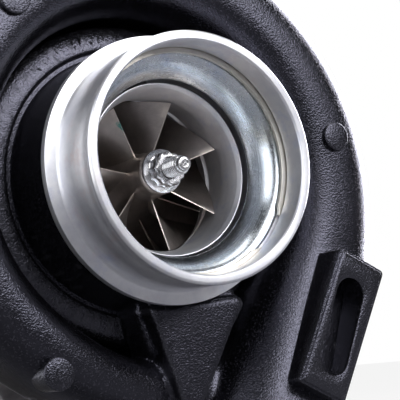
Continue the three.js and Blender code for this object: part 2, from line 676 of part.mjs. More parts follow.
function turbineWheel() {
  const steps = 5;
  const hub = [];
  const tip = [];
  for (let i = 0; i <= steps; i += 1) {
    const angle = ((Math.PI / 2) * i) / steps;
    hub.push([13 + 31.5 * (1 - Math.sin(angle)), 209 - 33.5 * Math.cos(angle)]);
    tip.push([40.2 + 4.3 * (1 - Math.sin(angle)), 208 - 16.4 * Math.cos(angle) ** 0.8]);
  }
  const disc = turned([
    [0, 160.5], [11.2, 160.5], [11.2, 163], [9.6, 163], [9.6, 165], [11.2, 165], [11.2, 170.5],
    [13, 173], [36, 173.5], [37, 175.6], ...hub.slice(2), [12, 214], [6, 217], [0, 217],
  ], MEDIUM_RING);
  const wrap = (t) => TURBINE_WRAP * t ** 2.4;
  const blades = [];
  for (let k = 0; k < TURBINE_BLADES; k += 1) {
    blades.push(blade(hub, tip, wrap, (360 / TURBINE_BLADES) * k, TURBINE_BLADE_THICKNESS));
  }
  return joined(disc, ...blades);
}
addPart('turbine_wheel', turbineWheel(), 'turbine_alloy');

// ---------- turbine housing ----------
// The volute starts on the left of the shaft, above its foot, and shrinks clockwise seen from the inlet.
const VOLUTE_SWEEP = 335;
const FOOT_HALF = [63, 50];
const FOOT_THICKNESS = 16;
const FOOT_BOLTS = [50, 38];
const DIVIDER = 5;
const DUCT_POWER = 6;

function voluteRings(wall) {
  const rings = [];
  const ductSteps = 5;
  for (let i = 0; i <= ductSteps; i += 1) {
    const t = i / ductSteps;
    const height = i === 0 && wall === 0 ? -FOOT_DROP - 2 : mix(-FOOT_DROP, 0, t);
    const halfWidth = mix(31, 26, t) + wall;
    const centre = new THREE.Vector3(mix(FOOT_X, -VOLUTE_INNER_R - 26, smooth(t)), VOLUTE_Y, height);
    const halfDepth = mix(30, 23, t) + wall;
    const power = mix(DUCT_POWER, SECTION_POWER, t);
    rings.push(oval(centre, radial(180), alongShaft, halfWidth, halfDepth, power));
  }
  const stations = 14;
  for (let i = 1; i <= stations; i += 1) {
    const fraction = i / stations;
    const angle = 180 - VOLUTE_SWEEP * fraction;
    const halfWidth = mix(26, 13, fraction);
    const centre = radial(angle).multiplyScalar(VOLUTE_INNER_R + halfWidth);
    centre.y = VOLUTE_Y;
    const halfDepth = mix(23, 17, fraction) + wall;
    rings.push(oval(centre, radial(angle), alongShaft, halfWidth + wall, halfDepth, SECTION_POWER));
  }
  return rings;
}

function turbineHousing() {
  const shell = loftedSpiral(voluteRings(TURBINE_WALL));
  const centreBody = turned([
    [0, TURBINE_FRONT], [REAR_FLANGE_R, TURBINE_FRONT], [REAR_FLANGE_R, 151.3], [58.5, 151.6], [58.5, 158],
    [61, 162], [61, 206], [54, 213], [50, 222], [50, 244], [56, 247], [56, TURBINE_OUTLET],
    [0, TURBINE_OUTLET],
  ]);
  const low = [FOOT_X - FOOT_HALF[0], VOLUTE_Y - FOOT_HALF[1], -FOOT_DROP];
  const foot = box(low, [FOOT_X + FOOT_HALF[0], VOLUTE_Y + FOOT_HALF[1], FOOT_THICKNESS - FOOT_DROP]);
  const flowPath = turned([
    [0, 147], [54.5, 147], [54.5, 154.4], [50.6, 154.4], [49, 174], [47, 176], [62, 176], [62, 192],
    [46, 192], [45, 192.4], [42.2, 196.5], [41.2, 202], [41, 214], [44.5, TURBINE_OUTLET + 1],
    [0, TURBINE_OUTLET + 1],
  ]);
  const whole = joined(shell, centreBody, foot);
  const middleSlab = box([-140, VOLUTE_Y - DIVIDER / 2, -FOOT_DROP], [140, VOLUTE_Y + DIVIDER / 2, 110]);
  const wheelRoom = bar([0, VOLUTE_Y - DIVIDER, 0], [0, VOLUTE_Y + DIVIDER, 0], 64, LARGE_RING);
  const divider = cut(whole.intersect(middleSlab), wheelRoom);
  const footHoles = [];
  for (const sideX of [-1, 1]) {
    for (const sideY of [-1, 1]) {
      const x = FOOT_X + sideX * FOOT_BOLTS[0];
      const y = VOLUTE_Y + sideY * FOOT_BOLTS[1];
      footHoles.push(bar([x, y, -FOOT_DROP - 1], [x, y, FOOT_THICKNESS - FOOT_DROP + 1], 6, 12));
    }
  }
  return cut(joined(cut(whole, loftedSpiral(voluteRings(0)), flowPath), divider), ...footHoles);
}
addPart('turbine_housing', turbineHousing(), 'cast_iron');

export default turbo;
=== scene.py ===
import json
import math

import bmesh
import bpy
from mathutils import Matrix, Vector


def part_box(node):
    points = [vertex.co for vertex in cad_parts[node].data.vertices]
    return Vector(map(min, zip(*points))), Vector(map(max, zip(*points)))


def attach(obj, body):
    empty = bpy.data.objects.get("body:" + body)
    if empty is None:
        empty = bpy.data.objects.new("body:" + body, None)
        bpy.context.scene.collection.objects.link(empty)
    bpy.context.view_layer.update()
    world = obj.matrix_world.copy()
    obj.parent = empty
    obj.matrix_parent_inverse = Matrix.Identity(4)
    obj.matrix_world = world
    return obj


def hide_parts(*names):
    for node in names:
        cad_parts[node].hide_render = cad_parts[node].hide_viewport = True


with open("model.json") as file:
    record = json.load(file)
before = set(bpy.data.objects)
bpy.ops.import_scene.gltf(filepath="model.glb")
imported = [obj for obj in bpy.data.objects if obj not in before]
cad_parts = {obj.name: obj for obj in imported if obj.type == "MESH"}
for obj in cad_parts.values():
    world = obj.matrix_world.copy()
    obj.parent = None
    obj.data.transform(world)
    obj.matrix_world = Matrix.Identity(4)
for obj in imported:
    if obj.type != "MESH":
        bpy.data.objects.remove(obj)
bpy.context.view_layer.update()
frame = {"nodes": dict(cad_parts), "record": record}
JOINTS = {joint["name"]: joint for joint in frame["record"]["behaviour"]["joints"]}

MM = 0.001
TAU = 2 * math.pi
ALONG = Vector((0, 1, 0))
UP = Vector((0, 0, 1))
AXIS_X, _, AXIS_Z = JOINTS["rotor_spin"]["pos_m"]
RIM_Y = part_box("compressor_cover")[0][1]
SHAFT_ORIGIN = Vector((AXIS_X, RIM_Y, AXIS_Z))
TO_ROW = Matrix.Translation(SHAFT_ORIGIN) @ Matrix.Scale(MM, 4)
FINE = 1.0
WELD = 1e-4
LEAST_SEGMENTS = 24
CORNER_STEPS = 3
OVAL_POINTS = 64


# ---------- mesh helpers ----------
def linked(name, data):
    obj = bpy.data.objects.new(name, data)
    bpy.context.scene.collection.objects.link(obj)
    return obj


def sharpen(obj, degrees):
    obj.data.set_sharp_from_angle(angle=math.radians(degrees))


def mesh_object(name, verts, faces, material, sharp=32):
    """A new object in the shaft frame, smooth except over edges sharper than sharp degrees."""
    mesh = bpy.data.meshes.new(name)
    mesh.from_pydata([tuple(v) for v in verts], [], faces)
    mesh.materials.append(material)
    obj = linked(name, mesh)
    clean(mesh)
    sharpen(obj, sharp)
    return obj


def clean(mesh):
    """Welds doubled points, drops collapsed faces and points every face outward."""
    bm = bmesh.new()
    bm.from_mesh(mesh)
    bmesh.ops.remove_doubles(bm, verts=bm.verts, dist=WELD)
    bmesh.ops.dissolve_degenerate(bm, edges=bm.edges, dist=WELD)
    bmesh.ops.recalc_face_normals(bm, faces=bm.faces)
    for face in bm.faces:
        face.smooth = True
    bm.to_mesh(mesh)
    bm.free()


def modified(obj, kind, **settings):
    """Puts a modifier on obj and turns it into the mesh at once."""
    modifier = obj.modifiers.new(kind, kind)
    for key, value in settings.items():
        setattr(modifier, key, value)
    graph = bpy.context.evaluated_depsgraph_get()
    mesh = bpy.data.meshes.new_from_object(obj.evaluated_get(graph))
    old = obj.data
    obj.modifiers.clear()
    obj.data = mesh
    bpy.data.meshes.remove(old)


def discard(*objects):
    for obj in objects:
        mesh = obj.data
        bpy.data.objects.remove(obj)
        bpy.data.meshes.remove(mesh)


def combine(obj, tools, operation, **settings):
    """Joins tools to obj, or cuts them from it, and throws the tools away."""
    for tool in tools:
        modified(obj, "BOOLEAN", object=tool, operation=operation, solver="MANIFOLD", **settings)
        discard(tool)


def cut(obj, *tools):
    combine(obj, tools, "DIFFERENCE")


def fuse(obj, *tools):
    combine(obj, tools, "UNION")


def carve(obj, tools):
    """Cuts tools away and leaves their own finish on the cut faces."""
    combine(obj, tools, "DIFFERENCE", material_mode="TRANSFER")
    sharpen(obj, 38)


def gathered(name, objects, material):
    """One object that holds the faces of several, still as separate shells."""
    verts = []
    faces = []
    for obj in objects:
        start = len(verts)
        verts += [v.co.copy() for v in obj.data.vertices]
        faces += [[start + k for k in face.vertices] for face in obj.data.polygons]
    discard(*objects)
    return mesh_object(name, verts, faces, material)


def cast(obj, voxel, passes):
    """Melts overlapping shells into one skin with soft inner corners, as a sand casting has."""
    material = obj.data.materials[0]
    modified(obj, "REMESH", mode="VOXEL", voxel_size=voxel / FINE, use_smooth_shade=True)
    modified(obj, "SMOOTH", factor=0.5, iterations=passes)
    obj.data.materials.clear()
    obj.data.materials.append(material)
    return obj


def turn_round_shaft(obj, degrees):
    """Turns a mesh drawn at the shaft frame's +X round the shaft, to stand at an angle."""
    obj.data.transform(Matrix.Rotation(math.radians(-degrees), 4, "Y"))


def finished(obj, slot, *nodes, body="housing"):
    """Puts a finished mesh in the row frame, lets it ride on its body and stand for its CAD nodes."""
    obj.data.transform(TO_ROW)
    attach(obj, body)
    if nodes:
        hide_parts(*nodes)


# ---------- shape helpers ----------
def radial(degrees):
    angle = math.radians(degrees)
    return Vector((math.cos(angle), 0, math.sin(angle)))


def mix(a, b, t):
    return a + (b - a) * t


def eased(t):
    return t * t * (3 - 2 * t)


def softened(profile, default):
    """Rounds each corner of a profile. A point is (radius, along) or (radius, along, corner radius)."""
    points = [Vector(p[:2]) for p in profile]
    radii = [p[2] if len(p) > 2 else default for p in profile]
    result = []
    for i, here in enumerate(points):
        on_axis = here.x < 1e-6
        if radii[i] == 0 or on_axis:
            result.append(here)
            continue
        before = points[i - 1] - here
        after = points[(i + 1) % len(points)] - here
        reach = min(radii[i], 0.45 * before.length, 0.45 * after.length)
        start = here + before.normalized() * reach
        end = here + after.normalized() * reach
        for k in range(CORNER_STEPS + 1):
            t = k / CORNER_STEPS
            result.append(start * (1 - t) ** 2 + here * 2 * t * (1 - t) + end * t * t)
    return result


def spun(name, columns, material, sharp=32, closed=True):
    """A skin through columns of points that stand round an axis. A closed column returns to its start."""
    size = len(columns[0])
    faces = []
    for s, column in enumerate(columns):
        here = s * size
        following = (s + 1) % len(columns)
        far = following * size
        for k in range(size if closed else size - 1):
            other = (k + 1) % size
            on_axis = column[k] == columns[following][k] and column[other] == columns[following][other]
            if not on_axis:
                faces.append((here + k, here + other, far + other, far + k))
    verts = [point for column in columns for point in column]
    return mesh_object(name, verts, faces, material, sharp)


def spokes(side, other, count):
    """Unit vectors round a circle, from side towards other."""
    angles = [TAU * k / count for k in range(count)]
    return [side * math.cos(a) + other * math.sin(a) for a in angles]


def spokes_about(run, count):
    side = run.orthogonal().normalized()
    return spokes(side, run.cross(side), count)


def lathed(name, profile, directions, centre, run, material, sharp=32):
    """A closed profile of (radius, along) points turned through directions about an axis."""
    columns = [[centre + direction * r + run * h for r, h in profile] for direction in directions]
    return spun(name, columns, material, sharp)


def turned(name, profile, material, segments=144, soften=0.25, sharp=32):
    """A closed profile turned about the shaft axis, its corners rounded."""
    segments = max(LEAST_SEGMENTS, int(segments * FINE))
    directions = [radial(360 * s / segments) for s in range(segments)]
    return lathed(name, softened(profile, soften), directions, Vector(), ALONG, material, sharp)


def lofted(name, rings, material, sharp=40):
    """A skin over closed rings of points, capped at both ends."""
    count = len(rings[0])
    last = (len(rings) - 1) * count
    faces = []
    for start in range(0, last, count):
        for k in range(count):
            a = start + k
            b = start + (k + 1) % count
            faces.append((a, b, b + count, a + count))
    faces.append(tuple(range(count))[::-1])
    faces.append(tuple(range(last, last + count)))
    verts = [point for ring in rings for point in ring]
    return mesh_object(name, verts, faces, material, sharp)


def oval(centre, across, half_width, half_depth, power):
    """A ring between an ellipse (power 2) and a rectangle, its depth along the shaft."""
    ring = []
    for k in range(OVAL_POINTS):
        angle = TAU * k / OVAL_POINTS
        c, s = math.cos(angle), math.sin(angle)
        u = math.copysign(abs(c) ** (2 / power), c) * half_width
        v = math.copysign(abs(s) ** (2 / power), s) * half_depth
        ring.append(centre + across * u + ALONG * v)
    return ring


def prism(name, outline, direction, depth, material, bevel=0.0):
    """A flat outline of 3-D points swept along a direction, with its long edges eased."""
    count = len(outline)
    sweep = direction.normalized() * depth
    verts = outline + [point + sweep for point in outline]
    faces = [tuple(range(count))[::-1], tuple(range(count, 2 * count))]
    for k in range(count):
        other = (k + 1) % count
        faces.append((k, other, other + count, k + count))
    obj = mesh_object(name, verts, faces, material)
    if bevel:
        limit = math.radians(30)
        modified(obj, "BEVEL", width=bevel, segments=3, limit_method="ANGLE", angle_limit=limit)
    return obj


def circle(centre, normal, radius, sides):
    return [centre + spoke * radius for spoke in spokes_about(normal, sides)]


def bar(name, start, end, radius, material, sides=48, bevel=0.0):
    run = Vector(end) - Vector(start)
    outline = circle(Vector(start), run.normalized(), radius, sides)
    return prism(name, outline, run, run.length, material, bevel)


def shaftwise_bar(name, place, front, back, radius, material, sides=48, bevel=0.0):
    """A bar parallel to the shaft, beside it at place."""
    return bar(name, place + ALONG * front, place + ALONG * back, radius, material, sides, bevel)


def box(name, low, high, material, bevel=0.0):
    corners = [(low[0], low[2]), (high[0], low[2]), (high[0], high[2]), (low[0], high[2])]
    return slab(name, corners, low[1], high[1], material, bevel)


def slab(name, points, front, back, material, bevel=0.0):
    """A flat outline of (x, z) points made solid from front to back along the shaft."""
    outline = [Vector((x, front, z)) for x, z in points]
    return prism(name, outline, ALONG, back - front, material, bevel)


def rounded_rectangle(width, height, radius, steps=8):
    points = []
    for side_x, side_y, start in ((1, -1, -90), (1, 1, 0), (-1, 1, 90), (-1, -1, 180)):
        for k in range(steps + 1):
            angle = math.radians(start + 90 * k / steps)
            x = side_x * (width / 2 - radius) + radius * math.cos(angle)
            y = side_y * (height / 2 - radius) + radius * math.sin(angle)
            points.append((x, y))
    return points


# ---------- materials ----------
class Nodes:
    """A material's nodes, made and linked in short calls."""

    def __init__(self, name):
        self.material = bpy.data.materials.new(name)
        self.material.use_nodes = True
        self.tree = self.material.node_tree
        self.shader = self.tree.nodes["Principled BSDF"]

    def add(self, kind, inputs=None, **settings):
        node = self.tree.nodes.new(kind)
        for key, value in settings.items():
            setattr(node, key, value)
        for key, value in (inputs or {}).items():
            self.put(node.inputs[key], value)
        return node

    def put(self, socket, value):
        if isinstance(value, bpy.types.NodeSocket):
            self.tree.links.new(value, socket)
        elif isinstance(value, (tuple, list)) and len(value) == 3 and socket.type == "RGBA":
            socket.default_value = (*value, 1)
        else:
            socket.default_value = value

    def math(self, operation, a, b=0.0):
        return self.add("ShaderNodeMath", {0: a, 1: b}, operation=operation).outputs[0]

    def times(self, a, b):
        return self.math("MULTIPLY", a, b)

    def plus(self, a, b):
        return self.math("ADD", a, b)

    def vector(self, operation, a, b, output=0):
        return self.add("ShaderNodeVectorMath", {0: a, 1: b}, operation=operation).outputs[output]

    def joined(self, x, y):
        return self.add("ShaderNodeCombineXYZ", {0: x, 1: y, 2: 0.0}).outputs[0]

    def place(self):
        """Row-frame position in metres: every piece's object sits at the row's origin."""
        return self.add("ShaderNodeTexCoord").outputs["Object"]

    def noise(self, scale, detail=3.0, roughness=0.55, vector=None):
        inputs = {"Scale": scale, "Detail": detail, "Roughness": roughness}
        inputs["Vector"] = vector or self.place()
        return self.add("ShaderNodeTexNoise", inputs).outputs[0]

    def cells(self, scale):
        inputs = {"Scale": scale, "Vector": self.place()}
        return self.add("ShaderNodeTexVoronoi", inputs, feature="SMOOTH_F1").outputs["Distance"]

    def ramp(self, value, low, high, a=0.0, b=1.0):
        inputs = {"Value": value, "From Min": low, "From Max": high, "To Min": a, "To Max": b}
        return self.add("ShaderNodeMapRange", inputs).outputs[0]

    def blend(self, factor, a, b):
        node = self.add("ShaderNodeMix", data_type="RGBA")
        for k, value in ((0, factor), (6, a), (7, b)):
            self.put(node.inputs[k], value)
        return node.outputs[2]

    def bump(self, height, strength, distance, normal=None):
        inputs = {"Height": height, "Strength": strength, "Distance": distance}
        if normal:
            inputs["Normal"] = normal
        return self.add("ShaderNodeBump", inputs).outputs[0]

    def from_shaft(self):
        """Radius from the shaft and distance along it, in metres, and the position shifted to the shaft."""
        shifted = self.vector("SUBTRACT", self.place(), tuple(SHAFT_ORIGIN))
        x, along, z = self.add("ShaderNodeSeparateXYZ", {0: shifted}).outputs
        radius = self.math("SQRT", self.plus(self.times(x, x), self.times(z, z)))
        return radius, along, shifted

    def rings(self, spacing, detail=2.0):
        """Fine circular marks round the shaft, as a lathe tool leaves."""
        radius, along, _ = self.from_shaft()
        return self.noise(1 / spacing, detail, 0.7, self.joined(radius, along))

    def edges(self):
        """Near 1 on convex edges and 0 elsewhere: a mask for worn edges, and on the black casting for a
        painted highlight along its edges.
        """
        return self.ramp(self.add("ShaderNodeNewGeometry").outputs["Pointiness"], 0.51, 0.56)

    def surface(self, **values):
        names = {"color": "Base Color", "specular": "Specular IOR Level", "turn": "Anisotropic Rotation",
                 "emission": "Emission Strength"}
        for key, value in values.items():
            self.put(self.shader.inputs[names.get(key, key.replace("_", " ").title())], value)
        return self.material


def cast_black():
    """Black satin coating that follows the fine pebbles of the sand mould."""
    n = Nodes("cast_black")
    pebbles = n.noise(1900, 1, 0.5)
    height = n.plus(pebbles, n.times(n.cells(1400), 0.8))
    normal = n.bump(n.noise(150, 2), 0.06, 0.0005, n.bump(height, 0.85, 0.00016))
    patches = n.noise(35, 4)
    color = n.blend(n.ramp(patches, 0.35, 0.7), (0.001, 0.001, 0.0014), (0.003, 0.0029, 0.0038))
    specks = n.ramp(n.noise(1500, 0, 0.5), 0.58, 0.72)
    color = n.blend(n.times(specks, 0.6), color, (0.036, 0.035, 0.043))
    # Painted highlight: the coating is made lighter grey along convex edges, where rounded edges catch the
    # light.
    color = n.blend(n.times(n.edges(), 0.4), color, (0.05, 0.05, 0.056))
    rough = n.ramp(n.plus(patches, n.times(pebbles, 0.8)), 0.5, 1.3, 0.15, 0.25)
    n.surface(color=color, roughness=rough, normal=normal)
    return n.surface(specular=0.8, specular_tint=(0.8, 0.8, 1.0))


def raw_aluminium():
    """Uncoated inside of the cover's passages."""
    n = Nodes("raw_aluminium")
    color = n.blend(n.noise(60, 3), (0.3, 0.3, 0.31), (0.46, 0.46, 0.47))
    rough = n.ramp(n.noise(80, 3), 0.3, 0.7, 0.45, 0.65)
    return n.surface(color=color, metallic=1.0, roughness=rough, normal=n.bump(n.noise(900, 3), 0.4, 0.0003))


def turned_metal(name, light, dark, low, high, marks=0.00022, strength=0.1, anisotropic=0.55, stain=None):
    """Lathe-cut metal: ring marks, a streak round the axis and faint patches of tarnish."""
    n = Nodes(name)
    rings = n.rings(marks)
    wide = n.rings(0.0018, 1)
    color = n.blend(n.ramp(n.noise(55, 5, 0.62), 0.36, 0.66), dark, light)
    color = n.blend(n.times(n.ramp(rings, 0.35, 0.7), 0.18), color, dark)
    if stain:
        tint = n.blend(n.ramp(n.noise(38, 4), 0.45, 0.6), *stain)
        color = n.blend(n.times(n.ramp(n.noise(90, 5, 0.7), 0.52, 0.72), 0.5), color, tint)
    fine = n.ramp(n.noise(700, 3, 0.6), 0.45, 0.75, 0.0, 0.06)
    rough = n.plus(n.ramp(rings, 0.3, 0.75, low, high), fine)
    normal = n.bump(n.plus(rings, n.times(wide, 0.7)), strength, 0.00012)
    tangent = n.add("ShaderNodeTangent", direction_type="RADIAL", axis="Y").outputs[0]
    n.surface(color=color, metallic=1.0, roughness=rough, normal=normal, tangent=tangent)
    return n.surface(anisotropic=anisotropic, turn=0.25)


def plain_metal(name, light, dark, low, high, grain=600, strength=0.15):
    """Rolled, forged or ground metal with a fine grain and brighter worn edges."""
    n = Nodes(name)
    patches = n.noise(110, 5, 0.6)
    fine = n.noise(grain, 4, 0.6)
    color = n.blend(n.ramp(patches, 0.35, 0.68), dark, light)
    color = n.blend(n.times(n.edges(), 0.5), color, tuple(min(1, c * 1.35) for c in light))
    rough = n.plus(n.ramp(patches, 0.3, 0.7, high, low), n.ramp(fine, 0.4, 0.8, 0.0, 0.07))
    return n.surface(color=color, metallic=1.0, roughness=rough, normal=n.bump(fine, strength, 0.0002))


def cast_iron():
    """Sand-cast iron: coarse skin, brown bloom of surface rust in places, bare grey on edges."""
    n = Nodes("cast_iron")
    skin = n.noise(620, 4, 0.6)
    color = n.blend(n.ramp(n.noise(45, 5, 0.65), 0.4, 0.65), (0.15, 0.147, 0.145), (0.25, 0.24, 0.23))
    bloom = n.times(n.ramp(n.noise(30, 6, 0.7), 0.56, 0.74), 0.38)
    color = n.blend(bloom, color, (0.21, 0.125, 0.078))
    color = n.blend(n.times(n.edges(), 0.45), color, (0.36, 0.35, 0.34))
    height = n.plus(n.times(skin, 0.7), n.times(n.cells(420), 0.45))
    normal = n.bump(n.noise(150, 3), 0.3, 0.0008, n.bump(height, 0.6, 0.0004))
    rough = n.ramp(skin, 0.3, 0.75, 0.52, 0.74)
    metal = n.ramp(n.noise(70, 3), 0.35, 0.65, 0.35, 0.6)
    return n.surface(color=color, metallic=metal, roughness=rough, normal=normal)


def rubber():
    n = Nodes("rubber_black")
    fine = n.noise(900, 3)
    color = n.blend(n.noise(60, 3), (0.012, 0.012, 0.012), (0.028, 0.027, 0.026))
    rough = n.ramp(fine, 0.3, 0.7, 0.6, 0.8)
    return n.surface(color=color, roughness=rough, normal=n.bump(fine, 0.3, 0.0002))


def wheel_metal(name, light, dark, low, high):
    """Warm grey milled blades: fine cutter tracks that follow the radius."""
    n = Nodes(name)
    radius, along, shifted = n.from_shaft()
    tracks = n.noise(1900, 2, 0.6, n.joined(radius, n.times(along, 0.35)))
    color = n.blend(n.ramp(n.noise(75, 4, 0.6), 0.35, 0.68), dark, light)
    color = n.blend(n.times(n.ramp(tracks, 0.4, 0.7), 0.25), color, dark)
    ink = ink_stroke(n, along, shifted)
    color = n.blend(ink, color, (0.02, 0.24, 0.2))
    rough = n.plus(n.ramp(tracks, 0.3, 0.7, low, high), n.ramp(n.noise(900, 3), 0.4, 0.8, 0.0, 0.06))
    metallic = n.math("SUBTRACT", 1.0, n.times(ink, 0.6))
    return n.surface(color=color, metallic=metallic, roughness=rough, normal=n.bump(tracks, 0.12, 0.00015))


def ink_stroke(n, along, shifted):
    """The inspector's short pen mark on one blade, as a cover of 0 to 1."""
    middle = (-0.0112, 0, 0.0196)
    offset = n.vector("SUBTRACT", shifted, middle)
    run = n.vector("DOT_PRODUCT", offset, (0.787, 0, -0.617), "Value")
    side = n.vector("DOT_PRODUCT", offset, (0.617, 0, 0.787), "Value")
    bend = n.times(n.times(run, run), 35)
    u = n.math("DIVIDE", run, 0.0046)
    v = n.math("DIVIDE", n.plus(side, bend), 0.0014)
    reach = n.plus(n.times(u, u), n.times(v, v))
    near = n.ramp(reach, 0.7, 1.1, 1.0, 0.0)
    front = n.ramp(along, 0.055, 0.056, 1.0, 0.0)
    strokes = n.ramp(n.noise(900, 2), 0.38, 0.52, 0.25, 0.9)
    return n.times(n.times(near, front), strokes)


black_casting = cast_black()
inside_aluminium = raw_aluminium()
machined = turned_metal("machined_aluminium", (0.93, 0.93, 0.95), (0.74, 0.75, 0.8), 0.33, 0.48,
                        stain=((0.52, 0.58, 0.8), (0.86, 0.66, 0.62)))
zinc = turned_metal("polished_zinc", (0.86, 0.9, 0.94), (0.66, 0.73, 0.8), 0.2, 0.3, marks=0.0005,
                    strength=0.04, anisotropic=0.35, stain=((0.4, 0.52, 0.78), (0.8, 0.78, 0.62)))
spring = plain_metal("spring_steel", (0.74, 0.71, 0.64), (0.48, 0.45, 0.4), 0.34, 0.48)
wheel_alloy = wheel_metal("wheel_alloy", (0.7, 0.63, 0.58), (0.46, 0.41, 0.375), 0.32, 0.46)
steel = turned_metal("turned_steel", (0.88, 0.88, 0.88), (0.6, 0.6, 0.62), 0.14, 0.26, marks=0.0003)
bronze = turned_metal("bronze", (0.7, 0.48, 0.22), (0.46, 0.29, 0.12), 0.2, 0.34)
plated = plain_metal("plated_steel", (0.66, 0.62, 0.5), (0.44, 0.41, 0.34), 0.26, 0.38)
stainless = plain_metal("stainless_steel", (0.66, 0.66, 0.67), (0.48, 0.48, 0.49), 0.22, 0.36, grain=900)
iron = cast_iron()
machined_iron = turned_metal("machined_iron", (0.42, 0.41, 0.4), (0.24, 0.23, 0.225), 0.28, 0.42,
                             stain=((0.22, 0.15, 0.1), (0.3, 0.28, 0.27)))
turbine_alloy = plain_metal("turbine_alloy", (0.34, 0.315, 0.295), (0.2, 0.185, 0.175), 0.36, 0.52,
                            grain=420, strength=0.4)
black_rubber = rubber()


# ---------- compressor cover ----------
SCROLL_START = -45
DISCHARGE_ANGLE = -26
SCROLL_SWEEP = 360 + SCROLL_START - DISCHARGE_ANGLE
SCROLL_INNER = 71
SCROLL_OUTER = 102.5
SCROLL_GROWTH = 16.8
SCROLL_Y = 58
SCROLL_DEPTH = 25
SCROLL_WALL = 4
SCROLL_STATIONS = 110
DUCT_ACROSS = radial(DISCHARGE_ANGLE)
DUCT_RUN = radial(DISCHARGE_ANGLE - 90)
DUCT_ROOT = DUCT_ACROSS * ((SCROLL_INNER + SCROLL_OUTER + SCROLL_GROWTH) / 2) + ALONG * SCROLL_Y
THROAT_SHARE = 0.62
THROAT_SWEEP = 90
PAD_PLACES = [(10.4, 92), (132.3, 92), (-124.2, 96.3)]
PAD_RADIUS = 6.5
PAD_FRONT = 31
WEBS = 5


def scroll_station(turn, wall):
    outer = SCROLL_OUTER + SCROLL_GROWTH * (turn / SCROLL_SWEEP) ** 2.6
    throat = mix(THROAT_SHARE, 1, eased(min(1, turn / THROAT_SWEEP)))
    half_width = (outer - SCROLL_INNER) / 2 * throat
    half_depth = SCROLL_DEPTH * throat
    direction = radial(SCROLL_START - turn)
    centre = direction * (outer - half_width) + ALONG * (SCROLL_Y + SCROLL_DEPTH - half_depth)
    return oval(centre, direction, half_width - wall, half_depth - wall, 2.6)


def in_between(spans, steps=6):
    """Extra stations between the given ones, so that a change of size or form is gradual."""
    result = []
    for first, second in zip(spans, spans[1:]):
        for k in range(steps):
            result.append([mix(a, b, k / steps) for a, b in zip(first, second)])
    return result + [spans[-1]]


def scroll_loft(name, wall, spans, material):
    """The scroll, then its discharge duct through spans of (distance, radius, power)."""
    turns = [SCROLL_SWEEP * i / SCROLL_STATIONS for i in range(SCROLL_STATIONS + 1)]
    rings = [scroll_station(turn, wall) for turn in turns]
    for distance, radius, power in in_between(spans):
        rings.append(oval(DUCT_ROOT + DUCT_RUN * distance, DUCT_ACROSS, radius, radius, power))
    return lofted(name, rings, material)


NECK = [(52.6, 33.2), (53.2, 42), (54.8, 54)]
COVER_OUTER = [(0, 31.6), (52.4, 31.6)] + NECK + [
    (55.4, 59.6), (58.9, 59.6), (61, 59.6), (66, 61.2), (69, 63.6), (70.2, 68), (74, 73), (88, 73),
    (88, 83), (84, 84), (84, 90), (90, 90), (90, 92.7), (0, 92.7),
]
COLLAR_FACE = [
    (57.6, 61.6), (58.3, 61), (58.6, 60.3), (59, 59.85), (59.6, 59.7), (66.6, 61), (68.2, 61.8),
    (69.4, 63.2), (70.1, 65.4), (70.6, 68.5),
]
NECK_SIDE = [(51, 30)] + NECK + [(55.3, 60.2), (56, 61.5)]
GROOVE_OUTSIDE = [(71.1, 70), (71.6, 69), (71.6, 60), (70.6, 50), (69.5, 40), (69.5, 30)]
COLLAR_BACK = 74
GUSSET_FACE = [(-9.6, -56), (35.4, -53), (36, -57), (29.5, -66), (11.5, -98), (3.2, -97)]
GUSSET_STEP = [(-11.7, -57), (-6.4, -73.4), (0.9, -81.3), (4.5, -95), (14, -95), (14, -50), (-9, -45)]
GUSSET_WEB = [(-9.6, -59), (-7, -40), (30, -40), (35.4, -58)]
GUSSET_ROOM = GUSSET_FACE[:2] + [(36, -75), (-6.4, -75), (-11.7, -59)]
GUSSET_BACK = 62


def quarter(steps, middle, half_axes):
    """A quarter of an ellipse of (radius, along) points, from the shaft's direction outward."""
    points = []
    for i in range(steps + 1):
        angle = math.pi / 2 * i / steps
        radius = middle[0] - half_axes[0] * math.cos(angle)
        points.append((radius, middle[1] + half_axes[1] * math.sin(angle)))
    return points


def shroud_curve(steps, gap=0.0):
    return quarter(steps, (49.4 - gap, 39.8 + gap), (16.7, 35.2))


def slotted_block():
    """A boss on the scroll with a rounded slot sunk into its face."""
    block = (73.6, -68.5, 27.5)
    slot = (73, -69, 24)
    levels = [
        (25, 62.5, 2, 50, block), (25, 62.5, 2, 19.1, block), (24.6, 62.1, 1.9, 18.75, block),
        (22.8, 60.3, 1.5, 18.6, block), (22.3, 59.8, 1.3, 18.1, block), (22, 59.5, 1.2, 18, block),
        (15.4, 44.4, 7.7, 18, slot), (14.6, 43.6, 7.3, 18.2, slot), (14.1, 43.1, 7.05, 18.9, slot),
        (14, 43, 7, 20, slot), (13.7, 42.7, 6.8, 42, slot), (12, 41, 6, 44, slot),
    ]
    rings = []
    for width, height, radius, along, (x, z, lean) in levels:
        place = Matrix.Translation((x, 0, z)) @ Matrix.Rotation(math.radians(lean), 4, "Y")
        rings.append([place @ Vector((a, along, b)) for a, b in rounded_rectangle(width, height, radius)])
    return lofted("block", rings, black_casting, 50)


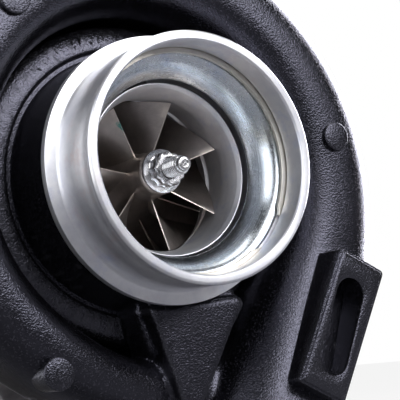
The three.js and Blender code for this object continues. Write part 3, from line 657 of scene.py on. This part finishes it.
def compressor_casting():
    coat = black_casting
    spans = [(25, 27.5, 2.4), (50, 31, 2.2), (78, 35, 2), (95, 35, 2)]
    shells = [turned("cover_body", COVER_OUTER, coat, soften=0), scroll_loft("cover_scroll", 0, spans, coat)]
    casting = cast(gathered("cover_casting", shells, coat), 1.25, int(22 * FINE ** 2))
    gusset = []
    for points, front in ((GUSSET_FACE, 36), (GUSSET_WEB, 38), (GUSSET_STEP, 45)):
        gusset.append(slab("gusset", points, front, GUSSET_BACK, coat))
    casting = cast(gathered("cover_casting", [casting] + gusset, coat), 1.15, int(4 * FINE) + 1)
    groove = turned("cover_groove", NECK_SIDE + COLLAR_FACE + GROOVE_OUTSIDE, coat, 192, 0)
    for points, front in ((GUSSET_ROOM, 35.5), (GUSSET_WEB, 37), (GUSSET_STEP, 44.6)):
        cut(groove, slab("gusset_room", points, front, GUSSET_BACK + 2, coat))
    cut(casting, groove)
    collar = [(50, COLLAR_BACK), (50, 61.6)] + COLLAR_FACE + [(70.8, COLLAR_BACK)]
    fuse(casting, turned("cover_collar", collar, coat, 192, 0))
    bead = [(33, 86), (35.3, 86.4), (36.2, 87.2), (36.5, 88.5), (36.2, 89.8), (35.3, 90.6), (33, 91)]
    directions = spokes(DUCT_ACROSS, ALONG, 96)
    fuse(casting, slotted_block(), lathed("duct_bead", bead, directions, DUCT_ROOT, DUCT_RUN, coat))
    for degrees, distance in PAD_PLACES:
        place = radial(degrees) * distance
        fuse(casting, shaftwise_bar("pad", place, PAD_FRONT, PAD_FRONT + 13, PAD_RADIUS, coat, 64, 0.7))
    return casting


def hollow_out(casting):
    """Opens the casting: inlet chamber, wheel room, diffuser, backplate seat and scroll passage."""
    room = [
        (0, 30), (45, 30), (45, 59), (48.6, 72.9), (70.5, 73.9), (70.5, 75), (86, 75), (86, 80), (82, 80),
        (82, 94), (0, 94),
    ]
    spans = [(25, 23.5, 2.4), (50, 27, 2.2), (78, 31, 2), (97, 31, 2)]
    passage = cast(scroll_loft("passage", SCROLL_WALL, spans, inside_aluminium), 2.0, 3)
    carve(casting, [turned("room", room, inside_aluminium, 160), passage])


def build_cover():
    casting = compressor_casting()
    hollow_out(casting)
    finished(casting, "coated_casting", "compressor_cover")
    inlet = turned("cover_inlet", [
        (46.6, 0.7), (47.3, 0, 0.2), (49.9, 0, 0.4), (50.8, 0.8, 0.4), (50.8, 2.2, 0.5), (49.7, 3.6, 1.2),
        (48.8, 6, 1.5), (48.8, 8.5, 1.5), (49.6, 12, 3), (50.2, 16, 3), (50.3, 26.6, 0.3), (51.0, 27.9, 0.5),
        (55.9, 28, 0.35), (55.9, 31.5, 0.3), (55.2, 32.2, 0.2), (45, 32.2), (44, 31.4), (44, 26, 0.2),
        (46.6, 26), (46.6, 14.1, 0.12), (48, 14.1, 0.1), (48, 11.1, 0.1), (46.6, 11.1, 0.12),
    ], machined, 288, sharp=24)
    lip = [(35.45, 29.3, 0.2), (35.65, 28.9, 0.1), (36.05, 28.9, 0.1), (36.2, 29.2, 0.1), (36.2, 52.5)]
    flare = [(32.9, 38), (33.4, 35.5), (34.05, 33), (34.7, 30.9)]
    curve = shroud_curve(48)
    front = [p for p in curve if p[1] < 52.2]
    back = [p for p in curve if p[1] > 55.8]
    ring = turned("cover_shroud_ring", lip + [(34, 52.5)] + front[::-1] + flare, machined, 240, 0.1, 24)
    bore = turned("cover_bore", back + [
        (71.4, 75), (71.4, 73.4), (50, 72.4), (46.2, 60), (46.2, 32.1), (44, 32.1), (44, 54, 1.5),
        (42, 58, 1.5), (38.5, 58, 1), (36.2, 55.5),
    ], machined, 240, 0.1, 24)
    for piece in (inlet, ring, bore):
        finished(piece, "machined_aluminium", "compressor_cover")
    for k in range(WEBS):
        web = box("cover_web_%d" % (k + 1), (35.9, 41, -1.5), (44.3, 57.8, 1.5), inside_aluminium, 0.4)
        turn_round_shaft(web, 360 / WEBS * k + 20)
        finished(web, "machined_aluminium", "compressor_cover")


# ---------- inlet bell and snap ring ----------
BELL_SWEEP = math.radians(55)
BELL_MOUTH = (46.2, 14.5)
BELL_INWARD = 9.2
BELL_DEPTH = 11.1
BELL_STEPS = 28
SNAP_INNER = 44.6
SNAP_OUTER = 47.7
SNAP_FRONT = 11.8
SNAP_BACK = 13.5
SNAP_EASE = 0.18
SNAP_GAP_ANGLE = -38.5
SNAP_GAP = 17
SNAP_HOOK = 4.5
HOOK_SHARE = 0.42


def build_bell():
    front = [(*BELL_MOUTH, 0.2)]
    for i in range(1, BELL_STEPS + 1):
        angle = BELL_SWEEP * i / BELL_STEPS
        inward = BELL_INWARD * math.sin(angle) / math.sin(BELL_SWEEP)
        depth = BELL_DEPTH * (1 - math.cos(angle)) / (1 - math.cos(BELL_SWEEP))
        front.append((BELL_MOUTH[0] - inward, BELL_MOUTH[1] + depth, 0))
    back = [
        (37.1, 26.6, 0.3), (38, 27, 0.3), (41.5, 21.8, 1.5), (43.6, 18.6, 1.5), (44.6, 25.7, 0.2),
        (46.2, 25.7, 0.2),
    ]
    bell = turned("inlet_bell_fine", front + back, zinc, 288, sharp=24)
    finished(bell, "zinc_plate", "inlet_bell")


def build_snap_ring():
    """A split ring whose ends run out to a hook against the groove."""
    mean = (SNAP_INNER + SNAP_OUTER) / 2
    half_gap = math.degrees(SNAP_GAP / 2 / mean)
    sweep = 360 - 2 * half_gap
    steps = max(48, int(200 * FINE))
    high, front, back, ease = SNAP_OUTER, SNAP_FRONT, SNAP_BACK, SNAP_EASE
    rings = []
    for i in range(steps + 1):
        t = i / steps
        direction = radial(SNAP_GAP_ANGLE + half_gap + sweep * t)
        from_end = math.radians(min(t, 1 - t) * sweep) * mean
        share = HOOK_SHARE + (1 - HOOK_SHARE) * eased(min(1, from_end / SNAP_HOOK))
        low = high - (high - SNAP_INNER) * share
        section = [
            (low + ease, front), (high - ease, front), (high, front + ease), (high, back - ease),
            (high - ease, back), (low + ease, back), (low, back - ease), (low, front + ease),
        ]
        rings.append([direction * r + ALONG * y for r, y in section])
    ring = lofted("inlet_snap_ring_fine", rings, spring, 30)
    finished(ring, "spring_steel", "inlet_snap_ring")


# ---------- rotor ----------
BLADES = 7
BLADE_PHASE = 71.2
BLADE_WRAP = 62
BLADE_THICKNESS = 0.9
SPLITTER_START = 11
TURBINE_BLADES = 11
TURBINE_WRAP = 42
TURBINE_BLADE_THICKNESS = 1.5
EDGE_SHARES = (0.35, 0.75, 1.0)


def blade(hub, tip, wrap, phase, thickness, start, material, rows=14):
    """A thin twisted blade: slim sections from hub to tip, thinner at both edges."""
    rings = []
    last = len(hub) - 1
    for i in range(start, last + 1):
        from_edge = min(i - start, last - i)
        edge = EDGE_SHARES[min(2, from_edge)]
        angle = phase + wrap(i / last)
        root = (hub[i][0] - 0.9, hub[i][1] + 0.7)
        left = []
        right = []
        for k in range(rows + 1):
            s = k / rows
            half = thickness / 2 * mix(1.9, 0.85, s ** 0.6) * edge
            lean = radial(angle + 90) * half
            at = radial(angle) * mix(root[0], tip[i][0], s) + ALONG * mix(root[1], tip[i][1], s)
            left.append(at - lean)
            right.append(at + lean)
        rings.append(left + right[::-1])
    return lofted("blade", rings, material, 45)


def finish_wheel(wheel, blades, slot, node):
    fuse(wheel, *blades)
    sharpen(wheel, 40)
    finished(wheel, slot, node, body="rotor")


def build_wheel():
    steps = 30
    hub = quarter(steps, (49, 46.5), (39, 33.5))
    tip = shroud_curve(steps, 0.45)
    profile = [(5.2, 35.4, 0.2), (7.9, 35.4, 0.6), (9.3, 37.3, 1.5), (9.3, 40, 1), (9.2, 43, 1)]
    profile += [(r, y, 0) for r, y in hub]
    profile += [(49, 83.1, 0.2), (30, 82.6, 2), (12.5, 83.4, 1), (5.2, 83.4)]
    wheel = turned("compressor_wheel_fine", profile, wheel_alloy, 200, sharp=30)

    def wrap(t):
        return BLADE_WRAP * (0.75 * (1 - (1 - t) ** 2.2) + 0.25 * t)

    blades = []
    for k in range(BLADES):
        phase = BLADE_PHASE + 360 / BLADES * k
        for offset, start in ((0, 0), (180 / BLADES, SPLITTER_START)):
            blades.append(blade(hub, tip, wrap, phase + offset, BLADE_THICKNESS, start, wheel_alloy))
    finish_wheel(wheel, blades, "wheel_alloy", "compressor_wheel")


def build_turbine_wheel():
    steps = 24
    hub = []
    tip = []
    for i in range(steps + 1):
        angle = math.pi / 2 * i / steps
        inward = 1 - math.sin(angle)
        hub.append((13 + 31.5 * inward, 209 - 33.5 * math.cos(angle)))
        tip.append((40.2 + 4.3 * inward, 208 - 16.4 * max(0, math.cos(angle)) ** 0.8))
    profile = [
        (0, 160.5), (11.2, 160.5), (11.2, 163), (9.6, 163), (9.6, 165), (11.2, 165), (11.2, 170.5),
        (13, 173), (36, 173.5), (37, 175.6),
    ]
    profile += [(r, y, 0) for r, y in hub[8:]]
    profile += [(12.6, 213, 0.5), (11, 216, 0.8), (6, 217.2, 0.6), (5, 216.4, 0.4), (0, 216.4)]
    wheel = turned("turbine_wheel_fine", profile, turbine_alloy, 160, 0.2, 30)

    def wrap(t):
        return TURBINE_WRAP * t ** 2.4

    blades = []
    for k in range(TURBINE_BLADES):
        phase = 360 / TURBINE_BLADES * k
        blades.append(blade(hub, tip, wrap, phase, TURBINE_BLADE_THICKNESS, 0, turbine_alloy, 10))
    finish_wheel(wheel, blades, "turbine_alloy", "turbine_wheel")


def star(radius, along, points=12):
    """Outline of two hexagons turned 30 degrees to each other."""
    inner = radius * math.cos(math.pi / 6) / math.cos(math.pi / 12)
    outline = []
    for k in range(2 * points):
        reach = radius if k % 2 == 0 else inner
        outline.append(radial(180 * k / points) * reach + ALONG * along)
    return outline


def build_nut():
    rings = [star(6.3, 27.0), star(6.9, 27.25), star(7.4, 28.0), star(7.4, 33.4)]
    nut = lofted("shaft_nut_fine", rings, steel, 20)
    flange = [(0, 32.4), (7.2, 32.4, 0.4), (9.3, 33.9, 0.3), (9.3, 35.1, 0.2), (0, 35.1)]
    fuse(nut, turned("nut_flange", flange, steel, 120))
    bore = [(0, 26), (5.0, 26), (5.0, 27), (4.1, 28), (4.1, 36), (0, 36)]
    cut(nut, turned("nut_bore", bore, steel, 96, 0))
    finished(nut, "turned_steel", "shaft_nut", body="rotor")


THREAD_PITCH = 1.25
THREAD_DEPTH = 0.62
THREAD_START = 18.1
THREAD_END = 35.6
THREAD_CREST = 4.0
STUB_RADIUS = 2.95


def shaft_thread_radius(y, turn):
    """Radius of the shaft's helical thread, which fades in from the stub."""
    phase = ((y - THREAD_START) / THREAD_PITCH - turn) % 1
    form = 1 - min(1, abs(phase - 0.5) * 2 * 1.25)
    run_in = eased(min(1, (y - THREAD_START) / 1.1))
    crest = mix(STUB_RADIUS, THREAD_CREST, eased(min(1, (y - THREAD_START) / 0.9)))
    return crest - THREAD_DEPTH * form * run_in


def build_shaft():
    """The rotor shaft with its centre-drilled stud end and a cut helical thread."""
    tip = [
        (0, 17.6), (0.55, 16.7), (1.0, 15.9), (1.15, 15.75), (1.5, 15.7), (2.5, 15.7), (2.85, 15.95),
        (STUB_RADIUS, 16.4), (STUB_RADIUS, 17.9),
    ]
    tail = [
        (THREAD_CREST, 35.8), (4.9, 36), (4.9, 110.8), (8.0, 110.8), (8.0, 131), (7.2, 132), (7.2, 141),
        (8.0, 142), (8.0, 160.2), (0, 160.2),
    ]
    step = THREAD_PITCH / 10
    count = int((THREAD_END - THREAD_START) / step)
    thread = [THREAD_START + step * k for k in range(count + 1)]
    segments = max(LEAST_SEGMENTS, int(72 * FINE))
    columns = []
    for s in range(segments):
        turn = s / segments
        column = tip + [(shaft_thread_radius(y, turn), y) for y in thread] + tail
        columns.append([radial(360 * turn) * r + ALONG * y for r, y in column])
    shaft = spun("rotor_shaft_fine", columns, steel, 50, closed=False)
    finished(shaft, "turned_steel", "rotor_shaft", body="rotor")


# ---------- fixings ----------
def hex_head(name, centre, run, radius, height, material, bore=0.0, washer=0.0):
    """A six-sided head with its corners turned off, on an optional round collar."""
    head = bar(name, centre, centre + run * height, radius, material, 6, 0.12)
    flat = radius * math.cos(math.pi / 6)
    wide = radius + 2
    top = height + 0.02
    profile = [(0, -1), (wide, -1), (wide, height * 0.72), (flat * 0.93, top), (0, top)]
    combine(head, [lathed("crown", profile, spokes_about(run, 64), centre, run, material)], "INTERSECT")
    if washer:
        fuse(head, bar("collar", centre, centre + run * 1.3, washer, material, 64, 0.25))
    if bore:
        cut(head, bar("bore", centre - run, centre + run * (height + 1), bore, material))
    return head


def threaded_bar(start, run, length, radius, pitch, material, thread_from):
    """A round shank with a fine helical thread over its far part and a chamfered tip."""
    segments = 40
    step = pitch / 6
    count = int((length - thread_from) / step)
    stations = [0.0, 0.02, max(0.04, thread_from)]
    stations += [thread_from + step * (k + 1) for k in range(count)] + [length]
    columns = []
    for s, direction in enumerate(spokes_about(run, segments)):
        column = []
        for k, h in enumerate(stations):
            phase = ((h - thread_from) / pitch - s / segments) % 1
            groove = 0.12 * radius * (1 - abs(phase - 0.5) * 2) if h > thread_from else 0
            groove = max(groove, 0.28 * radius * max(0, 1 - (length - h) / (0.3 * radius)))
            reach = 0 if k in (0, len(stations) - 1) else radius - groove
            column.append(start + run * h + direction * reach)
        columns.append(column)
    return spun("shank", columns, material, 50, closed=False)


# ---------- backplate and bearing housing ----------
BACK_BOLTS = [radial(60 * k) * 53 for k in range(6)]
BACK_BOLT_HOLE = 4.3
OIL_Y = 129.7
OIL_PAD_Z = 54
DRAIN_PAD_Z = -58
PAD_HALF = 11.4
OIL_BOLT_X = 17
OIL_BORE = 4.5


def build_backplate():
    plate = turned("backplate_fine", [
        (10.3, 83.9), (50, 83.9, 0.3), (50.3, 80, 0.3), (81.7, 80, 0.3), (81.7, 84), (79.4, 84, 0.1),
        (79.4, 86.6, 0.1), (81.7, 86.6), (81.7, 93, 0.4), (90, 93, 0.3), (90, 95.7, 0.3), (84, 96, 1),
        (70, 97, 1.5), (66, 100, 0.8), (15, 100), (15, 98.2), (10.3, 98.2),
    ], machined, 240)
    cut(plate, *[shaftwise_bar("hole", place, 86, 101, BACK_BOLT_HOLE, machined) for place in BACK_BOLTS])
    finished(plate, "machined_aluminium", "backplate")
    for k, place in enumerate(BACK_BOLTS, 1):
        seat = place + ALONG * 110.6
        head = hex_head("backplate_bolt_%d_fine" % k, seat, ALONG, 7.2, 7, plated, washer=8.0)
        fuse(head, threaded_bar(seat + ALONG * 0.4, -ALONG, 24, 4, 1.25, plated, 8))
        finished(head, "plated_steel", "backplate_bolt_%d" % k)


def build_bearing_housing():
    shells = [
        turned("body", [
            (0, 100.3), (62, 100.3), (62, 109), (60.5, 110.3), (45, 110.3), (41, 113), (38, 118), (38, 136),
            (43, 141), (50, 144.4), (62.5, 144.8), (62.5, 147.6), (54, 148), (54, 152.2), (50, 152.3),
            (30, 159.8), (24, 168), (0, 168),
        ], iron, soften=0),
        box("oil_pad", (-24, OIL_Y - PAD_HALF, 20), (24, OIL_Y + PAD_HALF, OIL_PAD_Z - 0.8), iron),
        box("drain_pad", (-30, OIL_Y - PAD_HALF, DRAIN_PAD_Z + 0.8), (30, OIL_Y + PAD_HALF, -25), iron),
    ]
    for degrees in (20, 160, 200, 340):
        rib = box("rib", (36, 108, -3), (52, 143, 3), iron)
        turn_round_shaft(rib, degrees)
        shells.append(rib)
    body = cast(gathered("bearing_housing_fine", shells, iron), 0.95, 5)
    front_face = [(0, 98), (70, 98), (70, 100.3), (0, 100.3)]
    rear_seat = [(63, 144.9, 0), (70, 140), (70, 152), (54.3, 152), (54.3, 148), (63, 148)]
    shaft_bore = [
        (0, 97), (26, 97), (26, 112), (12.3, 112), (12.3, 160), (11.6, 160), (11.6, 170), (0, 170),
    ]
    cuts = [
        turned("front_face", front_face, machined_iron, 160, 0),
        turned("rear_seat", rear_seat, machined_iron, 160, 0),
        turned("shaft_bore", shaft_bore, machined_iron, 96, 0),
        bar("oil_feed", (0, OIL_Y, 0), (0, OIL_Y, 60), 3, machined_iron),
        bar("drain", (0, OIL_Y, -6), (0, OIL_Y, -60), 9, machined_iron, 64),
        box("oil_face", (-26, 110, OIL_PAD_Z - 0.2), (26, 150, OIL_PAD_Z + 4), machined_iron),
        box("drain_face", (-32, 110, DRAIN_PAD_Z - 4), (32, 150, DRAIN_PAD_Z + 0.2), machined_iron),
    ]
    for x in (-22, 22):
        cuts.append(bar("drain_tap", (x, OIL_Y, -46), (x, OIL_Y, -60), 4.2, machined_iron))
    for place in BACK_BOLTS:
        cuts.append(shaftwise_bar("seat", place, 110.35, 113, 8.4, machined_iron))
        cuts.append(shaftwise_bar("hole", place, 99, 112, BACK_BOLT_HOLE, machined_iron))
    carve(body, cuts)
    finished(body, "cast_iron", "bearing_housing")


# ---------- oil inlet and clamps ----------
def diamond(name, low, high, hole, material, bevel):
    """The two-bolt flange outline: a round middle drawn out to two round ears."""
    middle_r = 11.5
    ear_r = 7.5
    steps = 16
    tilt = math.degrees(math.acos((middle_r - ear_r) / OIL_BOLT_X))
    arcs = [(0, middle_r, tilt, 180 - tilt), (-OIL_BOLT_X, ear_r, 180 - tilt, 180 + tilt),
            (0, middle_r, 180 + tilt, 360 - tilt), (OIL_BOLT_X, ear_r, -tilt, tilt)]
    outline = []
    for x, radius, start, end in arcs:
        for k in range(steps + 1):
            angle = math.radians(mix(start, end, k / steps))
            outline.append(Vector((x + radius * math.cos(angle), OIL_Y + radius * math.sin(angle), low)))
    plate = prism(name, outline, UP, high - low, material, bevel)
    for x, radius in ((-OIL_BOLT_X, 3.6), (OIL_BOLT_X, 3.6), (0, hole)):
        cut(plate, bar("hole", (x, OIL_Y, low - 1), (x, OIL_Y, high + 1), radius, material))
    return plate


def build_oil_inlet():
    gasket_z = OIL_PAD_Z + 0.3
    gasket = diamond("oil_inlet_gasket_fine", gasket_z, gasket_z + 0.8, 5, black_rubber, 0)
    finished(gasket, "rubber", "oil_inlet_gasket")
    low = gasket_z + 1.1
    hex_z = low + 7
    fitting = diamond("oil_inlet_fitting_fine", low, low + 8, OIL_BORE, plated, 0.5)
    fuse(fitting, hex_head("hex", Vector((0, OIL_Y, hex_z)), UP, 9.6, 72 - hex_z, plated))
    fuse(fitting, threaded_bar(Vector((0, OIL_Y, 71)), UP, 13, 7.4, 1.5, plated, 1.6))
    cut(fitting, bar("bore", (0, OIL_Y, low - 1), (0, OIL_Y, 85), OIL_BORE, plated))
    mouth = [circle(Vector((0, OIL_Y, z)), -UP, radius, 48) for z, radius in ((84.1, 6.6), (80.5, 4.4))]
    cut(fitting, lofted("mouth", mouth, plated))
    finished(fitting, "plated_steel", "oil_inlet_fitting")
    for k, x in enumerate((-OIL_BOLT_X, OIL_BOLT_X), 1):
        seat = Vector((x, OIL_Y, low + 8.3))
        head = hex_head("oil_inlet_bolt_%d_fine" % k, seat, UP, 5.4, 5, plated, washer=5.9)
        shank_top = seat + UP * 0.5
        fuse(head, threaded_bar(shank_top, -UP, shank_top.z - OIL_PAD_Z + 10, 3, 1.0, plated, 10))
        finished(head, "plated_steel", "oil_inlet_bolt_%d" % k)


def build_clamp(name, flange_r, front, back, degrees):
    """A V-band clamp over two flanges, its lugs and bolt at an angle round the shaft."""
    lip = flange_r - 3.5
    floor = flange_r + 0.5
    skin = flange_r + 3.5
    shoulder = flange_r + 1.5
    band = turned(name + "_band_fine", [
        (lip, front - 3, 0.5), (lip, front - 0.6, 0.3), (floor, front - 0.4, 0.8), (floor, back + 0.4, 0.8),
        (lip, back + 0.6, 0.3), (lip, back + 3, 0.5), (shoulder, back + 3, 1.2), (skin, back + 1, 1.2),
        (skin, front - 1, 1.2), (shoulder, front - 3, 1.2),
    ], stainless, 240)
    middle = (front + back) / 2
    low = floor + 0.5
    high = flange_r + 17
    fuse(band, box("lugs", (low, middle - 5, -11), (high, middle + 5, 11), stainless, 1.2))
    x = flange_r + 11
    gap = box("gap", (0.8 * flange_r, front - 4, -4), (flange_r + 20, back + 4, 4), stainless)
    cut(band, gap, bar("hole", (x, middle, -30), (x, middle, 30), 3.4, stainless))
    sharpen(band, 35)
    face = 11.3
    bolt = bar(name + "_bolt_fine", (x, middle, -face - 4), (x, middle, -face), 5, stainless, 64, 0.8)
    cut(bolt, bar("socket", (x, middle, -face - 5), (x, middle, -face - 1.6), 2.9, stainless, 6))
    shank = Vector((x, middle, -face - 1))
    fuse(bolt, threaded_bar(shank, UP, 2 * face + 13, 3, 1.0, stainless, 12))
    nut = hex_head(name + "_nut_fine", Vector((x, middle, face)), UP, 5.6, 6, stainless, bore=3.25)
    for piece, node in ((band, "_band"), (bolt, "_bolt"), (nut, "_nut")):
        turn_round_shaft(piece, degrees)
        finished(piece, "stainless_steel", name + node)


# ---------- turbine housing ----------
VOLUTE_Y = 184
VOLUTE_SWEEP = 335
VOLUTE_INNER = 56
VOLUTE_STATIONS = 80
VOLUTE_WALL = 6
FOOT_X = -42
FOOT_Z = -150
FOOT_STEPS = 26


def volute_loft(name, wall, material):
    """The turbine's passage, or with a wall its outside, from the foot up and round the wheel."""
    rings = []
    for i in range(FOOT_STEPS + 1):
        t = i / FOOT_STEPS
        z = mix(FOOT_Z, 0, t)
        if i == 0 and wall == 0:
            z -= 2
        centre = Vector((mix(FOOT_X, -VOLUTE_INNER - 26, eased(t)), VOLUTE_Y, z))
        rings.append(oval(centre, radial(180), mix(31, 26, t) + wall, mix(30, 23, t) + wall, mix(6, 2.6, t)))
    for i in range(1, VOLUTE_STATIONS + 1):
        t = i / VOLUTE_STATIONS
        across = radial(180 - VOLUTE_SWEEP * t)
        half_width = mix(26, 13, t)
        centre = across * (VOLUTE_INNER + half_width) + ALONG * VOLUTE_Y
        rings.append(oval(centre, across, half_width + wall, mix(23, 17, t) + wall, 2.6))
    return lofted(name, rings, material)


def build_turbine_housing():
    foot_low = (FOOT_X - 63, VOLUTE_Y - 50, FOOT_Z)
    foot_high = (FOOT_X + 63, VOLUTE_Y + 50, FOOT_Z + 16)
    shells = [
        volute_loft("volute", VOLUTE_WALL, iron),
        turned("centre", [
            (0, 148.3), (62.6, 148.3), (62.6, 151.2), (58.5, 151.6), (58.5, 158), (61, 162), (61, 206),
            (54, 213), (50, 222), (50, 243), (55.6, 247), (55.6, 252), (0, 252),
        ], iron, soften=0),
        box("foot", foot_low, foot_high, iron),
        shaftwise_bar("boss", radial(112) * 96, 150, 172, 9, iron),
    ]
    body = cast(gathered("turbine_housing_fine", shells, iron), 1.35, 9)
    flow = [
        (0, 147), (54.5, 147), (54.5, 154.4), (50.6, 154.4), (49, 174), (47, 176), (62, 176), (62, 192),
        (46, 192), (45, 192.4), (42.2, 196.5), (41.2, 202), (41, 214), (44.5, 253), (0, 253),
    ]
    passage = cast(volute_loft("passage", 0, iron), 2.0, 3)
    divider = box("divider", (-140, VOLUTE_Y - 2.5, FOOT_Z), (140, VOLUTE_Y + 2.5, 110), iron)
    cut(divider, shaftwise_bar("wheel_room", Vector(), VOLUTE_Y - 5, VOLUTE_Y + 5, 64, iron, 96))
    cut(passage, divider)
    skim_low = (FOOT_X - 70, VOLUTE_Y - 60, FOOT_Z - 5)
    skim_high = (FOOT_X + 70, VOLUTE_Y + 60, FOOT_Z + 0.05)
    front_skim = [(40, 140), (75, 140), (75, 148.35), (40, 148.35)]
    rear_skim = [(40, 251.95), (65, 251.95), (65, 256), (40, 256)]
    cuts = [
        passage,
        turned("flow", flow, machined_iron, 160, 0),
        box("foot_skim", skim_low, skim_high, machined_iron),
        turned("front_skim", front_skim, machined_iron, 160, 0),
        turned("rear_skim", rear_skim, machined_iron, 160, 0),
    ]
    for x in (FOOT_X - 50, FOOT_X + 50):
        for y in (VOLUTE_Y - 38, VOLUTE_Y + 38):
            cuts.append(bar("hole", (x, y, FOOT_Z - 1), (x, y, FOOT_Z + 30), 6, machined_iron))
            cuts.append(bar("spot_face", (x, y, FOOT_Z + 15.7), (x, y, FOOT_Z + 22), 10.5, machined_iron))
    carve(body, cuts)
    finished(body, "cast_iron", "turbine_housing")


def dress_hidden_nodes():
    """The inner nodes keep their CAD shapes and get the finishes of what they are made of."""
    inner = {
        steel: ["oil_flinger", "compressor_seal_ring", "thrust_collar", "turbine_seal_ring"],
        bronze: ["thrust_bearing", "journal_bush_front", "journal_bush_rear"],
        spring: ["bearing_circlip_%d" % (k + 1) for k in range(4)],
        stainless: ["heat_shield"],
        black_rubber: ["backplate_o_ring"],
    }
    for material, names in inner.items():
        for name in names:
            mesh = frame["nodes"][name].data
            mesh.materials.clear()
            mesh.materials.append(material)


# ---------- stage ----------
FLOOR_REACH = 30.0
FLOOR_GLOW = 0.9
WORLD_FILL = 0.015
LIT_CENTRE = Vector((0.042, -0.13, 0.15))
LIGHTS = [
    ("front_top", (0.33, -0.9, 0.46), 1.2, 0.7, 0.5, 7.0, (0.97, 0.97, 1)),
    ("front_right", (0.75, -0.85, 0.1), 1.2, 0.4, 0.4, 0.5, (0.96, 0.95, 1)),
    ("front_strip", (-0.1, -1.0, 0.44), 1.2, 0.3, 0.7, 3.5, (1, 1, 1)),
    ("right_wall", (0.88, 0.28, 0.3), 1.1, 0.8, 0.8, 12.0, (0.93, 0.92, 1)),
    ("left_wall", (-0.95, -0.25, 0.22), 1.1, 1.6, 1.1, 2.0, (0.96, 0.97, 1)),
    ("backdrop_left", (-0.45, 0.9, 0.25), 1.3, 1.3, 1.0, 1.6, (0.94, 0.95, 1)),
    ("backdrop_right", (0.68, 0.74, 0.15), 1.3, 1.0, 1.1, 2.8, (0.8, 0.78, 1)),
    ("overhead", (0.15, -0.15, 1.0), 1.0, 0.8, 0.6, 3.0, (1, 1, 1)),
]
CAMERA_PLACE = (-0.2228, -0.5999, 0.0652)
CAMERA_RIGHT = Vector((0.8505, -0.5192, -0.0839))
CAMERA_BACK = Vector((-0.5259, -0.8396, -0.1357))
CAMERA_LENS = 115.2


def build_floor():
    reach = FLOOR_REACH
    mesh = bpy.data.meshes.new("floor")
    corners = [(-reach, -reach, 0), (reach, -reach, 0), (reach, reach, 0), (-reach, reach, 0)]
    mesh.from_pydata(corners, [], [(0, 1, 2, 3)])
    n = Nodes("floor_white")
    glow = n.times(n.add("ShaderNodeLightPath").outputs["Is Camera Ray"], FLOOR_GLOW)
    n.surface(color=(0.16, 0.16, 0.165), roughness=0.7, specular=0.1, emission_color=(1, 1, 1), emission=glow)
    mesh.materials.append(n.material)
    linked("floor", mesh)


def build_world():
    """White behind the object, and a faint cool fill for everything but the camera."""
    world = bpy.data.worlds.new("studio")
    bpy.context.scene.world = world
    world.use_nodes = True
    tree = world.node_tree
    fill = tree.nodes["Background"]
    fill.inputs["Color"].default_value = (0.8, 0.82, 0.88, 1)
    fill.inputs["Strength"].default_value = WORLD_FILL
    seen = tree.nodes.new("ShaderNodeBackground")
    seen.inputs["Color"].default_value = (1, 1, 1, 1)
    path = tree.nodes.new("ShaderNodeLightPath")
    mixer = tree.nodes.new("ShaderNodeMixShader")
    tree.links.new(path.outputs["Is Camera Ray"], mixer.inputs[0])
    tree.links.new(fill.outputs[0], mixer.inputs[1])
    tree.links.new(seen.outputs[0], mixer.inputs[2])
    tree.links.new(mixer.outputs[0], tree.nodes["World Output"].inputs["Surface"])


def build_lights():
    for name, direction, distance, width, height, radiance, color in LIGHTS:
        data = bpy.data.lights.new(name, "AREA")
        data.shape = "RECTANGLE"
        data.size = width
        data.size_y = height
        data.energy = radiance * math.pi * width * height
        data.color = color
        light = linked(name, data)
        toward = Vector(direction).normalized()
        light.location = LIT_CENTRE + toward * distance
        light.rotation_euler = toward.to_track_quat("Z", "Y").to_euler()
        light.visible_camera = False


def build_camera():
    data = bpy.data.cameras.new("camera")
    data.sensor_width = 36
    data.lens = CAMERA_LENS
    data.clip_start = 0.01
    data.clip_end = 100
    camera = linked("camera", data)
    back = CAMERA_BACK.normalized()
    up = back.cross(CAMERA_RIGHT).normalized()
    right = up.cross(back).normalized()
    basis = Matrix((right, up, back)).transposed().to_4x4()
    camera.matrix_world = Matrix.Translation(CAMERA_PLACE) @ basis
    scene = bpy.context.scene
    scene.camera = camera
    scene.view_settings.view_transform = "Standard"
    scene.view_settings.look = "None"


build_cover()
build_bell()
build_snap_ring()
build_wheel()
build_nut()
build_shaft()
build_turbine_wheel()
build_backplate()
build_bearing_housing()
build_oil_inlet()
build_clamp("cover_clamp", 90, 90, 95.7, 135)
build_clamp("turbine_clamp", 63, 145, 151.3, 60)
build_turbine_housing()
dress_hidden_nodes()
build_floor()
build_world()
build_lights()
build_camera()
